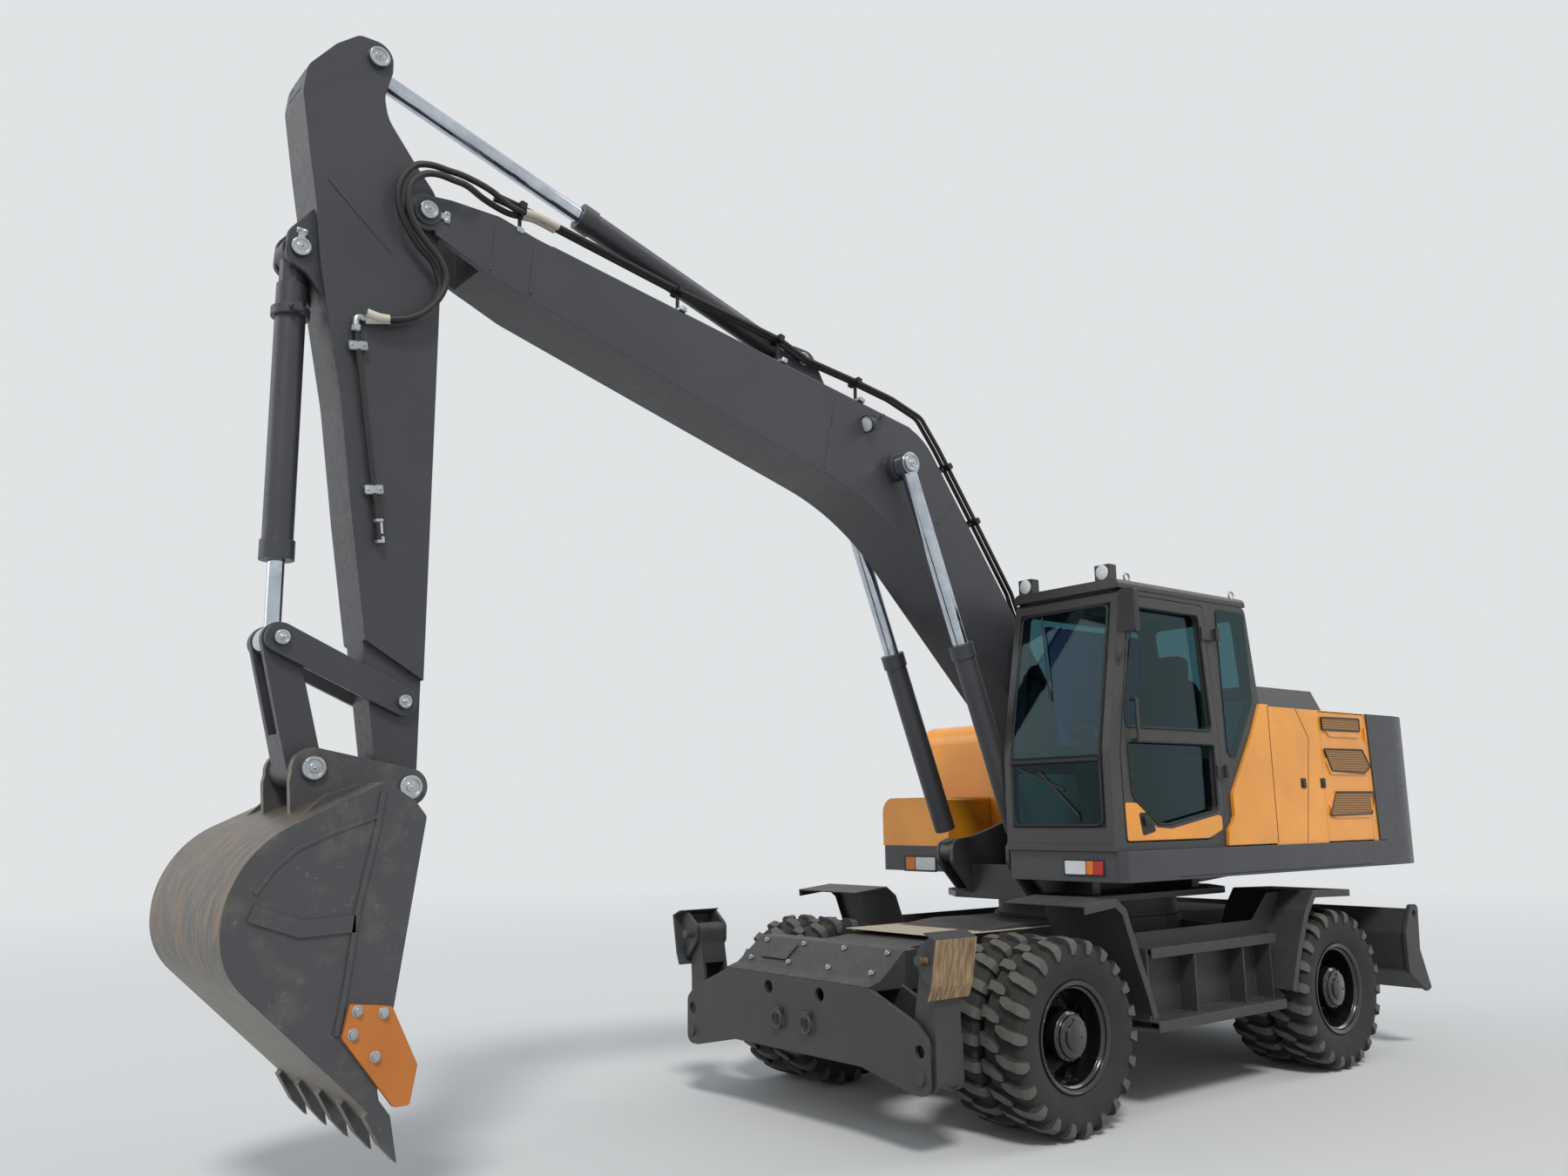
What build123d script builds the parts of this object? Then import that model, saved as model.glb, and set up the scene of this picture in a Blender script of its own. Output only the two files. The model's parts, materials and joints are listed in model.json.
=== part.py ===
from build123d import *
import os
from math import acos, atan2, cos, degrees, hypot, pi, radians, sin, tan

# Wheeled excavator of the 21 tonne class, with twin tyres, front outriggers and a rear dozer blade.
# Millimetres. +X is forward, towards the bucket, +Y is the operator's left, +Z is up, and z = 0 is the
# ground under the tyres. The model is laid out about the slew axis, x = 0 and y = 0, and every node is
# moved along X on export so that the origin lies under the middle of the whole machine's box.

# ---------------------------------------------------------------- driving dimensions
RUN = 5.0                  # least gap between pieces that move past each other
PIN_GAP = 0.5              # radial gap of a pin in its bore

TYRE_R = 522.0             # over the lugs
TYRE_WIDTH = 275.0
CARCASS_R = 488.0          # tread floor between the lugs
LUG_PITCHES = 10
BEAD_R = 254.0
RIM_WIDTH = 196.0
RIM_FLANGE_R = 292.0
OUTER_TYRE_Y = 1100.0      # middle of the outer tyre of a pair
TWIN_SPACING = 310.0
HUB_R = 135.0
HUB_REACH = 80.0           # from the twin wheel's disc to the hub's inner face
WHEEL_DISC = 32.0
DISC_Y = OUTER_TYRE_Y - TWIN_SPACING / 2 - WHEEL_DISC / 2
HUB_FACE_Y = DISC_Y - HUB_REACH
SPINDLE_R = 60.0
WHEEL_SIDES = 20           # flat faces round a rim

FRONT_AXLE_X = 1683.0
REAR_AXLE_X = -1110.0
AXLE_Z = TYRE_R
KINGPIN_Y = 780.0
KINGPIN_R = 28.0
STEER_ARM = 120.0          # kingpin to the steering rod's pin
AXLE_BEAM_R = 88.0

CHASSIS_HALF = 370.0       # half width of the centre box
CHASSIS_TOP_Z = 1035.0
CHASSIS_LOW_Z = 730.0
SLEW_R = 610.0
SLEW_TOP_Z = 1150.0

OUTRIGGER_X = 2669.0       # front face of the outrigger frame
OUTRIGGER_PLATE = 24.0
LEG_PIVOT = (1008.0, 405.0)         # y, z
LEG_FOOT_PIN = (1048.0, 985.0)      # y, z, leg raised
LEG_RAM_PIN = (1008.0, 537.0)       # y, z
LEG_RAM_FOOT = (190.0, 620.0)       # y, z
LEG_WIDTH = 185.0
LEG_CHEEK = 22.0
LEG_X = (OUTRIGGER_X - OUTRIGGER_PLATE - 20 - LEG_WIDTH, OUTRIGGER_X - OUTRIGGER_PLATE - 20)
CHASSIS_FRONT_X = LEG_X[0] - RUN - OUTRIGGER_PLATE - 11
LEG_PIN_R = 32.0
LASHING_HOLE = (230.0, 737.0)       # y, z
LASHING_HOLE_R = 38.0

BLADE_PIVOT = (-1640.0, 560.0)      # x, z
BLADE_HALF = 1249.0
BLADE_RAM_Y = 240.0
BLADE_RAM_FOOT = (-1640.0, 900.0)
BLADE_RAM_EYE = (-1985.0, 640.0)
BLADE_EYE_R = 26.0

DECK_Z = 1490.0            # top of the turntable's skirt, under cab and covers
SKIRT_Z = 1313.0
UPPER_HALF = 1235.0        # half width of the upper structure
UPPER_REAR_X = -2745.0     # rear face of the counterweight
HOOD_Z = 2400.0
PANEL = 6.0                # sheet panels

CAB_X = (-390.0, 1255.0)
CAB_Y = (405.0, 1214.0)
CAB_TOP_Z = 3118.0
CAB_WALL = 45.0
CAB_LEAN = 190.0           # how far the windscreen's top stands behind its foot
GLASS = 6.0
DOOR_THICK = 40.0
DOOR_AXIS = (95.0, 1246.0)

ARM_HALF = 140.0
ARM_TIP_HALF = 104.0       # between the rockers, below the fold
FOLD = ((4900.0, 2310.0), (5400.0, 2610.0))   # line above which the arm is wider
FORK_GAP = 8.0             # between the arm and each plate of the boom's fork
BOOM_FOOT = (180.0, 1880.0)         # pins as x, z
BOOM_TIP = (5087.0, 4695.0)
BOOM_HALF = 205.0
BOOM_FORK = 34.0           # thickness of each fork plate at the tip
BOOM_TIP_HALF = ARM_HALF + FORK_GAP + BOOM_FORK
FORK_TAPER_X = (4500.0, 4725.0)     # where the boom's sides draw in to the fork
FORK_DEPTH = 300.0         # from the tip's pin to the bottom of the fork
BOOM_RAM_FOOT = (1010.0, 1465.0)
BOOM_RAM_EYE = (1945.0, 3890.0)
BOOM_RAM_Y = 315.0
RAM_NECK = 85.0            # slim length of a barrel between its foot boss and its tube
ARM_RAM_FOOT = (2600.0, 4510.0)
ARM_RAM_EYE = (5354.0, 5451.0)
TAIL_SLOT = 84.0           # half width of the open slot in the arm's tail
BUCKET_RAM_FOOT = (5661.0, 4370.0)
ROCKER_PIN = (5082.0, 2261.0)
ROCKER_Y = (ARM_TIP_HALF + 6, ARM_HALF)
LINK_PIN = (5651.0, 2518.0)
LINK_HALF = ARM_TIP_HALF - 2
LINK_SLOT = 62.0           # half width of the slot in the bucket link's top
LINK_PIN_R = 36.0
BUCKET_LINK_PIN = (5505.0, 1947.0)
BUCKET_PIN = (5066.0, 1867.0)
EAR_Y = (ARM_HALF + 30, ARM_HALF + 70)
PIN_R = 45.0
BUCKET_HALF = 580.0
BUCKET_WALL = 26.0
BUCKET_EDGE = (5207.0, 359.0)       # tips of the teeth
TEETH = 5
TOOTH_WIDTH = 62.0
PIPE_R = 15.0

SIDE_ARM_X = (-330.0, 640.0)        # the two cross arms that carry steps and mudguards
FENDER = 8.0
FRONT_GUARD = [(985, 560), (1040, 720), (1120, 900), (1225, 1170), (1310, 1232), (1600, 1205)]
REAR_GUARD = [(-1296, 1169), (-818, 1181), (-700, 1060), (-560, 800), (-466, 571)]

BRACKET_Y = (BOOM_HALF + 28, BOOM_HALF + 58)     # each of the two plates that hold the boom's foot
REAR_DECK_X = -1905.0
DECK_INNER_Y = 405.0
RIGHT_DECK_X = 790.0
TANK_X = (-440.0, 330.0)
PANEL_X = (-445.0, -1765.0)
DOOR_X = (-1108.0, -1740.0)
LOUVRES = [((-1720, -1140), (1655, 1827)), ((-1720, -1140), (1956, 2127)), ((-1640, -1160), (2220, 2330))]
HOOD_X = (-1745.0, -765.0)
HOOD_Y = 1000.0
SERVICE_AXIS = (DOOR_X[1] + 10, UPPER_HALF + 8)     # x, y of the service doors' hinges
HOOD_AXIS = (HOOD_X[0] + 4, HOOD_Z + 16)            # x, z

ORIGIN_X = 1603.0          # middle of the whole machine's length, on the slew axis's x



# ---------------------------------------------------------------- shape helpers
def closed_wire(corners, place):
    """A closed wire through corners (a, b, radius); a corner with no radius stays sharp."""
    starts, middles, ends = [], [], []
    for index, corner in enumerate(corners):
        here = Vector(*corner[:2])
        radius = corner[2] if len(corner) > 2 else 0
        back = (Vector(*corners[index - 1][:2]) - here).normalized()
        ahead = (Vector(*corners[(index + 1) % len(corners)][:2]) - here).normalized()
        half = radians(back.get_angle(ahead)) / 2
        reach = radius / tan(half) if radius else 0
        starts.append(here + back * reach)
        middles.append(here + (back + ahead).normalized() * (radius / sin(half) - radius) if radius else None)
        ends.append(here + ahead * reach)
    edges = []
    for index, middle in enumerate(middles):
        if middle is not None:
            edges.append(ThreePointArc(place(starts[index]), place(middle), place(ends[index])))
        following = starts[(index + 1) % len(starts)]
        if (following - ends[index]).length > 1e-3:
            edges.append(Line(place(ends[index]), place(following)))
    return Wire(edges)


def prism_y(corners, y_low, y_high):
    """An outline of x, z corners, extruded along Y."""
    face = Face(closed_wire(corners, lambda p: (p.X, y_low, p.Y)))
    return Solid.extrude(face, Vector(0, y_high - y_low, 0))


def prism_x(corners, x_low, x_high):
    """An outline of y, z corners, extruded along X."""
    face = Face(closed_wire(corners, lambda p: (x_low, p.X, p.Y)))
    return Solid.extrude(face, Vector(x_high - x_low, 0, 0))


def prism_z(corners, z_low, z_high):
    """An outline of x, y corners, extruded along Z."""
    face = Face(closed_wire(corners, lambda p: (p.X, p.Y, z_low)))
    return Solid.extrude(face, Vector(0, 0, z_high - z_low))


def block(x_span, y_span, z_span):
    corners = [(x_span[0], y_span[0]), (x_span[1], y_span[0]), (x_span[1], y_span[1]), (x_span[0], y_span[1])]
    return prism_z(corners, *z_span)


def bar(start, end, radius):
    """A round bar between two points."""
    start, end = Vector(*start), Vector(*end)
    return Solid.make_cylinder(radius, (end - start).length, Plane(origin=start, z_dir=end - start))


def disc_y(centre, radius, y_low, y_high):
    return bar((centre[0], y_low, centre[1]), (centre[0], y_high, centre[1]), radius)


def disc_x(centre, radius, x_low, x_high):
    return bar((x_low, centre[0], centre[1]), (x_high, centre[0], centre[1]), radius)


def flip(shape):
    """The same piece on the other side of the machine."""
    return shape.mirror(Plane.XZ)


def both_sides(shape):
    return shape + flip(shape)


def turned_y(shape, centre, angle):
    """Turned about an axis along Y through centre (x, z), from +X towards +Z."""
    return shape.moved(Location((centre[0], 0, centre[1])) * Location((0, 0, 0), (0, -angle, 0)))


def faceted(start, end, radius, end_radius=None, sides=12):
    """A bar of flat faces between two points, with an optional other radius at its end."""
    start, end = Vector(*start), Vector(*end)
    wires = []
    for origin, size in ((start, radius), (end, end_radius or radius)):
        section = Plane(origin=origin, z_dir=end - start) * RegularPolygon(size, sides)
        wires.append(section.face().outer_wire())
    return Solid.make_loft(wires, ruled=True)


def ram(length, gland_at, rod_from, barrel_r, rod_r, foot, eye, gland_long=90, collar_long=0):
    """A hydraulic cylinder along +X from its foot pin at the origin to its rod's eye at length.

    foot and eye are (radius, half width, pin radius) of the bosses, about Y. The rod's eye is solid, with the
    ends of its pin in it. gland_long is the length of the thicker head at the rod's end, and collar_long that
    of the thicker end at the foot. Gives the barrel and the rod.
    """
    neck_end = foot[0] + RAM_NECK
    neck = faceted((0, 0, 0), (neck_end + 10, 0, 0), min(foot[1] - 2, barrel_r - 6))
    tube = bar((neck_end, 0, 0), (gland_at - gland_long + 10, 0, 0), barrel_r)
    gland = bar((gland_at - gland_long, 0, 0), (gland_at, 0, 0), barrel_r + 9)
    boss = disc_y((0, 0), foot[0], -foot[1], foot[1])
    barrel = boss.fuse(neck, tube, gland)
    if collar_long:
        barrel += bar((neck_end, 0, 0), (neck_end + collar_long, 0, 0), barrel_r + 5)
    barrel -= bar((foot[0] + 12, 0, 0), (gland_at + 1, 0, 0), rod_r + 1)
    barrel -= disc_y((0, 0), foot[2] + PIN_GAP, -foot[1] - 1, foot[1] + 1)
    rod = bar((rod_from, 0, 0), (length, 0, 0), rod_r) + disc_y((length, 0), eye[0], -eye[1], eye[1])
    return barrel, rod


def link_plate(start, start_r, end, end_r, y_low, y_high):
    """A plate with round ends between two pins (x, z)."""
    run = (Vector(*end) - Vector(*start)).normalized()
    side = Vector(-run.Y, run.X)
    corners = [Vector(*start) + side * start_r, Vector(*end) + side * end_r]
    corners += [Vector(*end) - side * end_r, Vector(*start) - side * start_r]
    plate = prism_y([(p.X, p.Y) for p in corners], y_low, y_high)
    return plate.fuse(disc_y(start, start_r, y_low, y_high), disc_y(end, end_r, y_low, y_high))


def placed_ram(parts, foot, eye, y=0.0):
    """Stands a ram made along +X between foot and eye (x, z) in the plane y."""
    angle = degrees(atan2(eye[1] - foot[1], eye[0] - foot[0]))
    return [turned_y(part, foot, angle).moved(Location((0, y, 0))) for part in parts]


def span(a, b):
    return hypot(b[0] - a[0], b[1] - a[1])


nodes = {}


# ---------------------------------------------------------------- wheels
def polygon_ring(sections, sides):
    """A body of flat faces about the Y axis; sections are a closed outline of radius and y."""
    faces = []
    step = 2 * pi / sides
    for index, (radius, y) in enumerate(sections):
        radius_next, y_next = sections[(index + 1) % len(sections)]
        for side in range(sides):
            ring = []
            for r, v, turn in ((radius, y, 0), (radius, y, 1), (radius_next, y_next, 1), (radius_next, y_next, 0)):
                angle = (side + turn) * step
                point = Vector(r * cos(angle), v, r * sin(angle))
                if not any((point - other).length < 1e-6 for other in ring):
                    ring.append(point)
            if len(ring) > 2:
                faces.append(Face(Wire.make_polygon(ring, close=True)))
    return Solid(Shell(faces))


def tyre():
    """A lug tyre about the Y axis, centred on y = 0, with two staggered rows of lugs fused to its carcass."""
    half = TYRE_WIDTH / 2
    corner = cos(pi / LUG_PITCHES)
    bead_half = RIM_WIDTH / 2 - 14
    profile = [
        ((BEAD_R + 6) / corner, -bead_half), ((RIM_FLANGE_R + 10) / corner, -bead_half + 4), (430, -half),
        (CARCASS_R / corner, -half + 38), (CARCASS_R / corner, half - 38), (430, half),
        ((RIM_FLANGE_R + 10) / corner, bead_half - 4), ((BEAD_R + 6) / corner, bead_half),
    ]
    shape = polygon_ring(profile, LUG_PITCHES)
    lug_long = pi * CARCASS_R / LUG_PITCHES
    outline = [(-lug_long * 0.28, 10), (lug_long * 0.28, 10), (lug_long * 0.42, half - 8), (-lug_long * 0.42, half - 8)]
    root_r = CARCASS_R - 50
    lug = prism_z([(u, v) for u, v in outline], root_r, TYRE_R)
    lugs = []
    for side in range(2 * LUG_PITCHES):
        piece = lug if side % 2 else lug.mirror(Plane.XZ)
        lugs.append(piece.moved(Location((0, 0, 0), (0, side * 180 / LUG_PITCHES, 0))))
    return shape.fuse(*lugs)


def rims():
    """Both rims of a twin wheel and its hub, about the Y axis, outer face towards +Y, axle at y = 0."""
    inner_r = BEAD_R - 14
    lip = 12
    face_y = OUTER_TYRE_Y + TYRE_WIDTH / 2 - 18
    outer, inner = OUTER_TYRE_Y, OUTER_TYRE_Y - TWIN_SPACING
    half = RIM_WIDTH / 2
    section = [
        (0, face_y), (HUB_R - 12, face_y), (HUB_R, face_y - 12), (HUB_R, DISC_Y + 70),
        (HUB_R + 30, DISC_Y + WHEEL_DISC + 8), (inner_r, DISC_Y + WHEEL_DISC), (inner_r, outer + half + lip),
    ]
    for middle in (outer, inner):
        section += [
            (RIM_FLANGE_R, middle + half + lip), (RIM_FLANGE_R, middle + half), (BEAD_R, middle + half - 4),
            (BEAD_R, middle - half + 4), (RIM_FLANGE_R, middle - half), (RIM_FLANGE_R, middle - half - lip),
        ]
        if middle == outer:
            section += [(inner_r + 10, outer - half - lip), (inner_r + 10, inner + half + lip)]
    section += [
        (inner_r, inner - half - lip), (inner_r, DISC_Y), (HUB_R + 20, DISC_Y), (HUB_R + 20, HUB_FACE_Y),
        (0, HUB_FACE_Y),
    ]
    bore = bar((0, HUB_FACE_Y - 1, 0), (0, DISC_Y + 60, 0), SPINDLE_R + 3)
    return polygon_ring(section, WHEEL_SIDES) - bore


TYRE = tyre()
RIMS = rims()
WHEEL_PLACES = {
    "front_left": (FRONT_AXLE_X, 1),
    "front_right": (FRONT_AXLE_X, -1),
    "rear_left": (REAR_AXLE_X, 1),
    "rear_right": (REAR_AXLE_X, -1),
}
for name, (x, side) in WHEEL_PLACES.items():
    pair = [TYRE.moved(Location((x, y, AXLE_Z))) for y in (OUTER_TYRE_Y, OUTER_TYRE_Y - TWIN_SPACING)]
    rim = RIMS.moved(Location((x, 0, AXLE_Z)))
    nodes[f"tyres_{name}"] = Compound(children=[flip(t) if side < 0 else t for t in pair])
    nodes[f"rims_{name}"] = flip(rim) if side < 0 else rim


# ---------------------------------------------------------------- axles and steering
def axle_beam(x, half_length, housing_r):
    """An axle's housing along Y with its differential in the middle."""
    middle = faceted((x, -half_length, AXLE_Z), (x, half_length, AXLE_Z), AXLE_BEAM_R - 14)
    for side in (-1, 1):
        cone = faceted((x, side * 90, AXLE_Z), (x, side * 300, AXLE_Z), housing_r, AXLE_BEAM_R)
        arm = faceted((x, side * 290, AXLE_Z), (x, side * 520, AXLE_Z), AXLE_BEAM_R)
        middle = middle.fuse(cone, arm)
    return middle + faceted((x, -100, AXLE_Z), (x, 100, AXLE_Z), housing_r)


def front_axle():
    x = FRONT_AXLE_X
    beam = axle_beam(x, 640, 185)
    nose = faceted((x - 330, 0, AXLE_Z + 10), (x, 0, AXLE_Z + 10), 70)
    cradle = block((x - 130, x + 130), (-210, 210), (AXLE_Z + 100, CHASSIS_LOW_Z))
    shapes = [nose, cradle]
    for side in (-1, 1):
        root = block((x - 50, x + 50), sorted((side * 600, side * (KINGPIN_Y - 100))), (AXLE_Z - 140, AXLE_Z + 140))
        shapes.append(root)
        for low in (95, -140):
            tip = prism_z([
                (x - 50, side * 640), (x - 50, side * (KINGPIN_Y + 42), 40), (x + 50, side * (KINGPIN_Y + 42), 40),
                (x + 50, side * 640),
            ], AXLE_Z + low, AXLE_Z + low + 45)
            shapes.append(tip)
    steer_x = x - STEER_ARM
    barrel = bar((steer_x, -270, AXLE_Z - 60), (steer_x, 270, AXLE_Z - 60), 42)
    brackets = [block((steer_x - 10, x - 40), (y - 25, y + 25), (AXLE_Z - 80, AXLE_Z - 30)) for y in (-150, 150)]
    axle = beam.fuse(*shapes, barrel, *brackets)
    axle -= bar((steer_x, -271, AXLE_Z - 60), (steer_x, 271, AXLE_Z - 60), 19)
    for side in (-1, 1):
        bore = bar((x, side * KINGPIN_Y, AXLE_Z - 150), (x, side * KINGPIN_Y, AXLE_Z + 150), KINGPIN_R + PIN_GAP)
        axle -= bore
    return axle


def knuckle():
    """The left steering knuckle: kingpin, spindle and steering arm."""
    x, y = FRONT_AXLE_X, KINGPIN_Y
    face_y = HUB_FACE_Y - RUN
    body = prism_z([(x - 62, y - 50), (x + 62, y - 50), (x + 62, face_y), (x - 62, face_y)], AXLE_Z - 88, AXLE_Z + 88)
    body += bar((x, y, AXLE_Z - 146), (x, y, AXLE_Z + 146), KINGPIN_R)
    spindle_end = DISC_Y + WHEEL_DISC / 2 + 35
    body += bar((x, y + 40, AXLE_Z), (x, spindle_end, AXLE_Z), SPINDLE_R)
    arm_x = x - STEER_ARM
    arm = prism_z([
        (x - 40, y - 30), (arm_x - 2, y - 22, 20), (arm_x - 24, y, 20), (arm_x - 2, y + 22, 20), (x - 40, y + 30),
    ], AXLE_Z - 36, AXLE_Z - 12)
    pin = bar((arm_x, y, AXLE_Z - 84), (arm_x, y, AXLE_Z - 20), 11)
    return body.fuse(arm, pin)


def steering_rod():
    """The steering cylinder's rod through both ends, with an eye round each knuckle's pin."""
    x, z = FRONT_AXLE_X - STEER_ARM, AXLE_Z - 60
    rod = bar((x, -KINGPIN_Y + 30, z), (x, KINGPIN_Y - 30, z), 17)
    for side in (-1, 1):
        eye = bar((x, side * KINGPIN_Y, z - 15), (x, side * KINGPIN_Y, z + 15), 34)
        rod += eye
    for side in (-1, 1):
        rod -= bar((x, side * KINGPIN_Y, z - 16), (x, side * KINGPIN_Y, z + 16), 23)
    return rod


def rear_axle():
    x = REAR_AXLE_X
    beam = axle_beam(x, 700, 195)
    spindle_end = DISC_Y + WHEEL_DISC / 2 + 35
    spindles = bar((x, -spindle_end, AXLE_Z), (x, spindle_end, AXLE_Z), SPINDLE_R)
    face_y = HUB_FACE_Y - RUN
    flanges = [
        faceted((x, side * 690, AXLE_Z), (x, side * face_y, AXLE_Z), 140) for side in (-1, 1)
    ]
    seats = [block((x - 90, x + 90), (y - 60, y + 60), (AXLE_Z, CHASSIS_LOW_Z)) for y in (-300, 300)]
    nose = faceted((x, 0, AXLE_Z + 20), (x + 330, 0, AXLE_Z + 20), 75)
    return beam.fuse(spindles, nose, *flanges, *seats)


nodes["front_axle"] = front_axle()
nodes["rear_axle"] = rear_axle()
nodes["knuckle_left"] = knuckle()
nodes["knuckle_right"] = flip(nodes["knuckle_left"])
nodes["steering_rod"] = steering_rod()


# ---------------------------------------------------------------- chassis, steps and mudguards


def chassis_frame():
    side = [
        (-1560, 790), (-1500, CHASSIS_LOW_Z), (CHASSIS_FRONT_X - 100, CHASSIS_LOW_Z), (CHASSIS_FRONT_X, 640), (CHASSIS_FRONT_X, 940),
        (1150, CHASSIS_TOP_Z), (-1560, 1000),
    ]
    frame = prism_y(side, -CHASSIS_HALF, CHASSIS_HALF)
    turret = faceted((0, 0, 780), (0, 0, CHASSIS_TOP_Z), SLEW_R + 34, sides=24)
    arms = []
    for x in SIDE_ARM_X:
        arm = prism_x([
            (-1000, 880), (-450, 820), (450, 820), (1000, 880), (1000, 960), (450, 1000), (-450, 1000), (-1000, 960),
        ], x - 60, x + 60)
        arms.append(arm)
    gearbox = block((150, 560), (-170, 170), (470, CHASSIS_LOW_Z + 1))
    shafts = faceted((REAR_AXLE_X + 330, 0, AXLE_Z + 20), (FRONT_AXLE_X - 330, 0, AXLE_Z + 20), 38)
    pivot = prism_y([
        (-1560, 760), (BLADE_PIVOT[0] - 70, 640), (BLADE_PIVOT[0] - 70, 500, 60), (BLADE_PIVOT[0] + 70, 500, 60),
        (-1380, 700), (-1380, 760),
    ], -330, -300)
    ears = [pivot, flip(pivot)]
    ram_ear = prism_y([
        (-1540, 800), (BLADE_RAM_FOOT[0] - 55, BLADE_RAM_FOOT[1] - 60, 50),
        (BLADE_RAM_FOOT[0] - 55, BLADE_RAM_FOOT[1] + 60, 50), (-1540, 990),
    ], BLADE_RAM_Y + 42, BLADE_RAM_Y + 66)
    ears += [ram_ear, flip(ram_ear)]
    inner = prism_y([
        (-1540, 800), (BLADE_RAM_FOOT[0] - 55, BLADE_RAM_FOOT[1] - 60, 50),
        (BLADE_RAM_FOOT[0] - 55, BLADE_RAM_FOOT[1] + 60, 50), (-1540, 990),
    ], BLADE_RAM_Y - 66, BLADE_RAM_Y - 42)
    ears += [inner, flip(inner)]
    frame = frame.fuse(turret, *arms, gearbox, shafts, *ears)
    for sign in (-1, 1):
        frame += disc_y(BLADE_PIVOT, 30, *sorted((sign * 290, sign * 420)))
        frame += disc_y(BLADE_RAM_FOOT, 24, sign * BLADE_RAM_Y - 70, sign * BLADE_RAM_Y + 70)
    return frame



def bent_plate(outline, thickness, y_low, y_high):
    """A plate of even thickness that follows an open outline of x, z points, on its right-hand side."""
    path = [Vector(*point) for point in outline]
    offset = []
    for index, here in enumerate(path):
        normals = []
        for start, end in ((index - 1, index), (index, index + 1)):
            if start >= 0 and end < len(path):
                run = (path[end] - path[start]).normalized()
                normals.append(Vector(run.Y, -run.X))
        mean = sum(normals[1:], normals[0]).normalized()
        offset.append(here + mean * (thickness / mean.dot(normals[0])))
    corners = [(p.X, p.Y) for p in path] + [(p.X, p.Y) for p in reversed(offset)]
    return prism_y(corners, y_low, y_high)




def side_steps():
    """The left side's mudguards and steps, welded to one box between the wheels."""
    shapes = []
    for outline, y_low in ((FRONT_GUARD, 650), (REAR_GUARD, 650)):
        shapes.append(bent_plate(outline, FENDER, y_low, 1245))
        shapes.append(bent_plate(outline, 46, 1237, 1245))
    for z, x_span, y_high in ((870, (-500, 860), 1135), (470, (-440, 930), 1209)):
        shapes.append(block(x_span, (1000, y_high), (z, z + 10)))
        shapes.append(block(x_span, (y_high - 10, y_high), (z - 10, z + 48)))
        shapes.append(block(x_span, (1000, y_high), (z + 38, z + 48)))
    for x in (-430, -110, 420, 900):
        shapes.append(block((x - 6, x + 6), (1000, 1130), (475, 915)))
    shapes.append(block((-436, 906), (1000, 1010), (475, 1000)))
    front_gusset = prism_y([(900, 915), (1130, 915), (1228, 1165), (1000, 1165)], 1000, 1008)
    rear_gusset = prism_y([(-620, 915), (-436, 915), (-436, 1000), (-640, 1165), (-795, 1165)], 1000, 1008)
    return shapes[0].fuse(*shapes[1:], front_gusset, rear_gusset)


nodes["chassis_frame"] = chassis_frame()
nodes["side_steps_left"] = side_steps()
nodes["side_steps_right"] = flip(nodes["side_steps_left"])
nodes["slew_ring"] = Solid.make_cylinder(SLEW_R, SLEW_TOP_Z - CHASSIS_TOP_Z, Plane(origin=(0, 0, CHASSIS_TOP_Z)))


# ---------------------------------------------------------------- outriggers
def outrigger_frame():
    plate = [
        (-635, 809, 30), (635, 809, 30), (985, 672, 60), (1066, 600, 60), (1066, 325, 58), (950, 325, 58),
        (558, 405, 40), (-558, 405, 40), (-950, 325, 58), (-1066, 325, 58), (-1066, 600, 60), (-985, 672, 60),
    ]
    front_x = OUTRIGGER_X - OUTRIGGER_PLATE
    rear_x = LEG_X[0] - RUN - OUTRIGGER_PLATE
    frame = prism_x(plate, front_x, OUTRIGGER_X)
    rear = prism_x(plate, rear_x, rear_x + OUTRIGGER_PLATE)
    middle = block((rear_x, front_x), (-120, 120), (430, 780))
    neck = block((CHASSIS_FRONT_X, rear_x + 1), (-CHASSIS_HALF, CHASSIS_HALF), (640, 805))
    shapes = [rear, middle, neck]
    front = OUTRIGGER_X
    cover = bent_plate([(front - 369, 990), (front - 269, 985), (front - 84, 842), (front, 817)], 8, -640, 640)
    cheek = prism_y([
        (front - 277, 940), (front - 269, 978), (front - 84, 835), (front - 24, 815), (front - 24, 790), (rear_x, 790),
        (front - 277, 800),
    ], 632, 640)
    shapes += [cover, cheek, flip(cheek)]
    for sign in (-1, 1):
        pivot = (sign * LEG_PIVOT[0], LEG_PIVOT[1])
        shapes.append(disc_x(pivot, LEG_PIN_R, rear_x - 15, LEG_X[0] + LEG_CHEEK))
        shapes.append(disc_x(pivot, LEG_PIN_R, LEG_X[1] - LEG_CHEEK, OUTRIGGER_X + 15))
        shapes.append(disc_x((sign * LEG_RAM_FOOT[0], LEG_RAM_FOOT[1]), 24, rear_x, OUTRIGGER_X))
    frame = frame.fuse(*shapes)
    for sign in (-1, 1):
        frame -= disc_x((sign * LASHING_HOLE[0], LASHING_HOLE[1]), LASHING_HOLE_R, front_x - 1, OUTRIGGER_X + 1)
        frame -= disc_x((sign * LEG_RAM_PIN[0], LEG_RAM_PIN[1]), 34, front_x - 1, OUTRIGGER_X + 1)
    return frame


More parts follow.
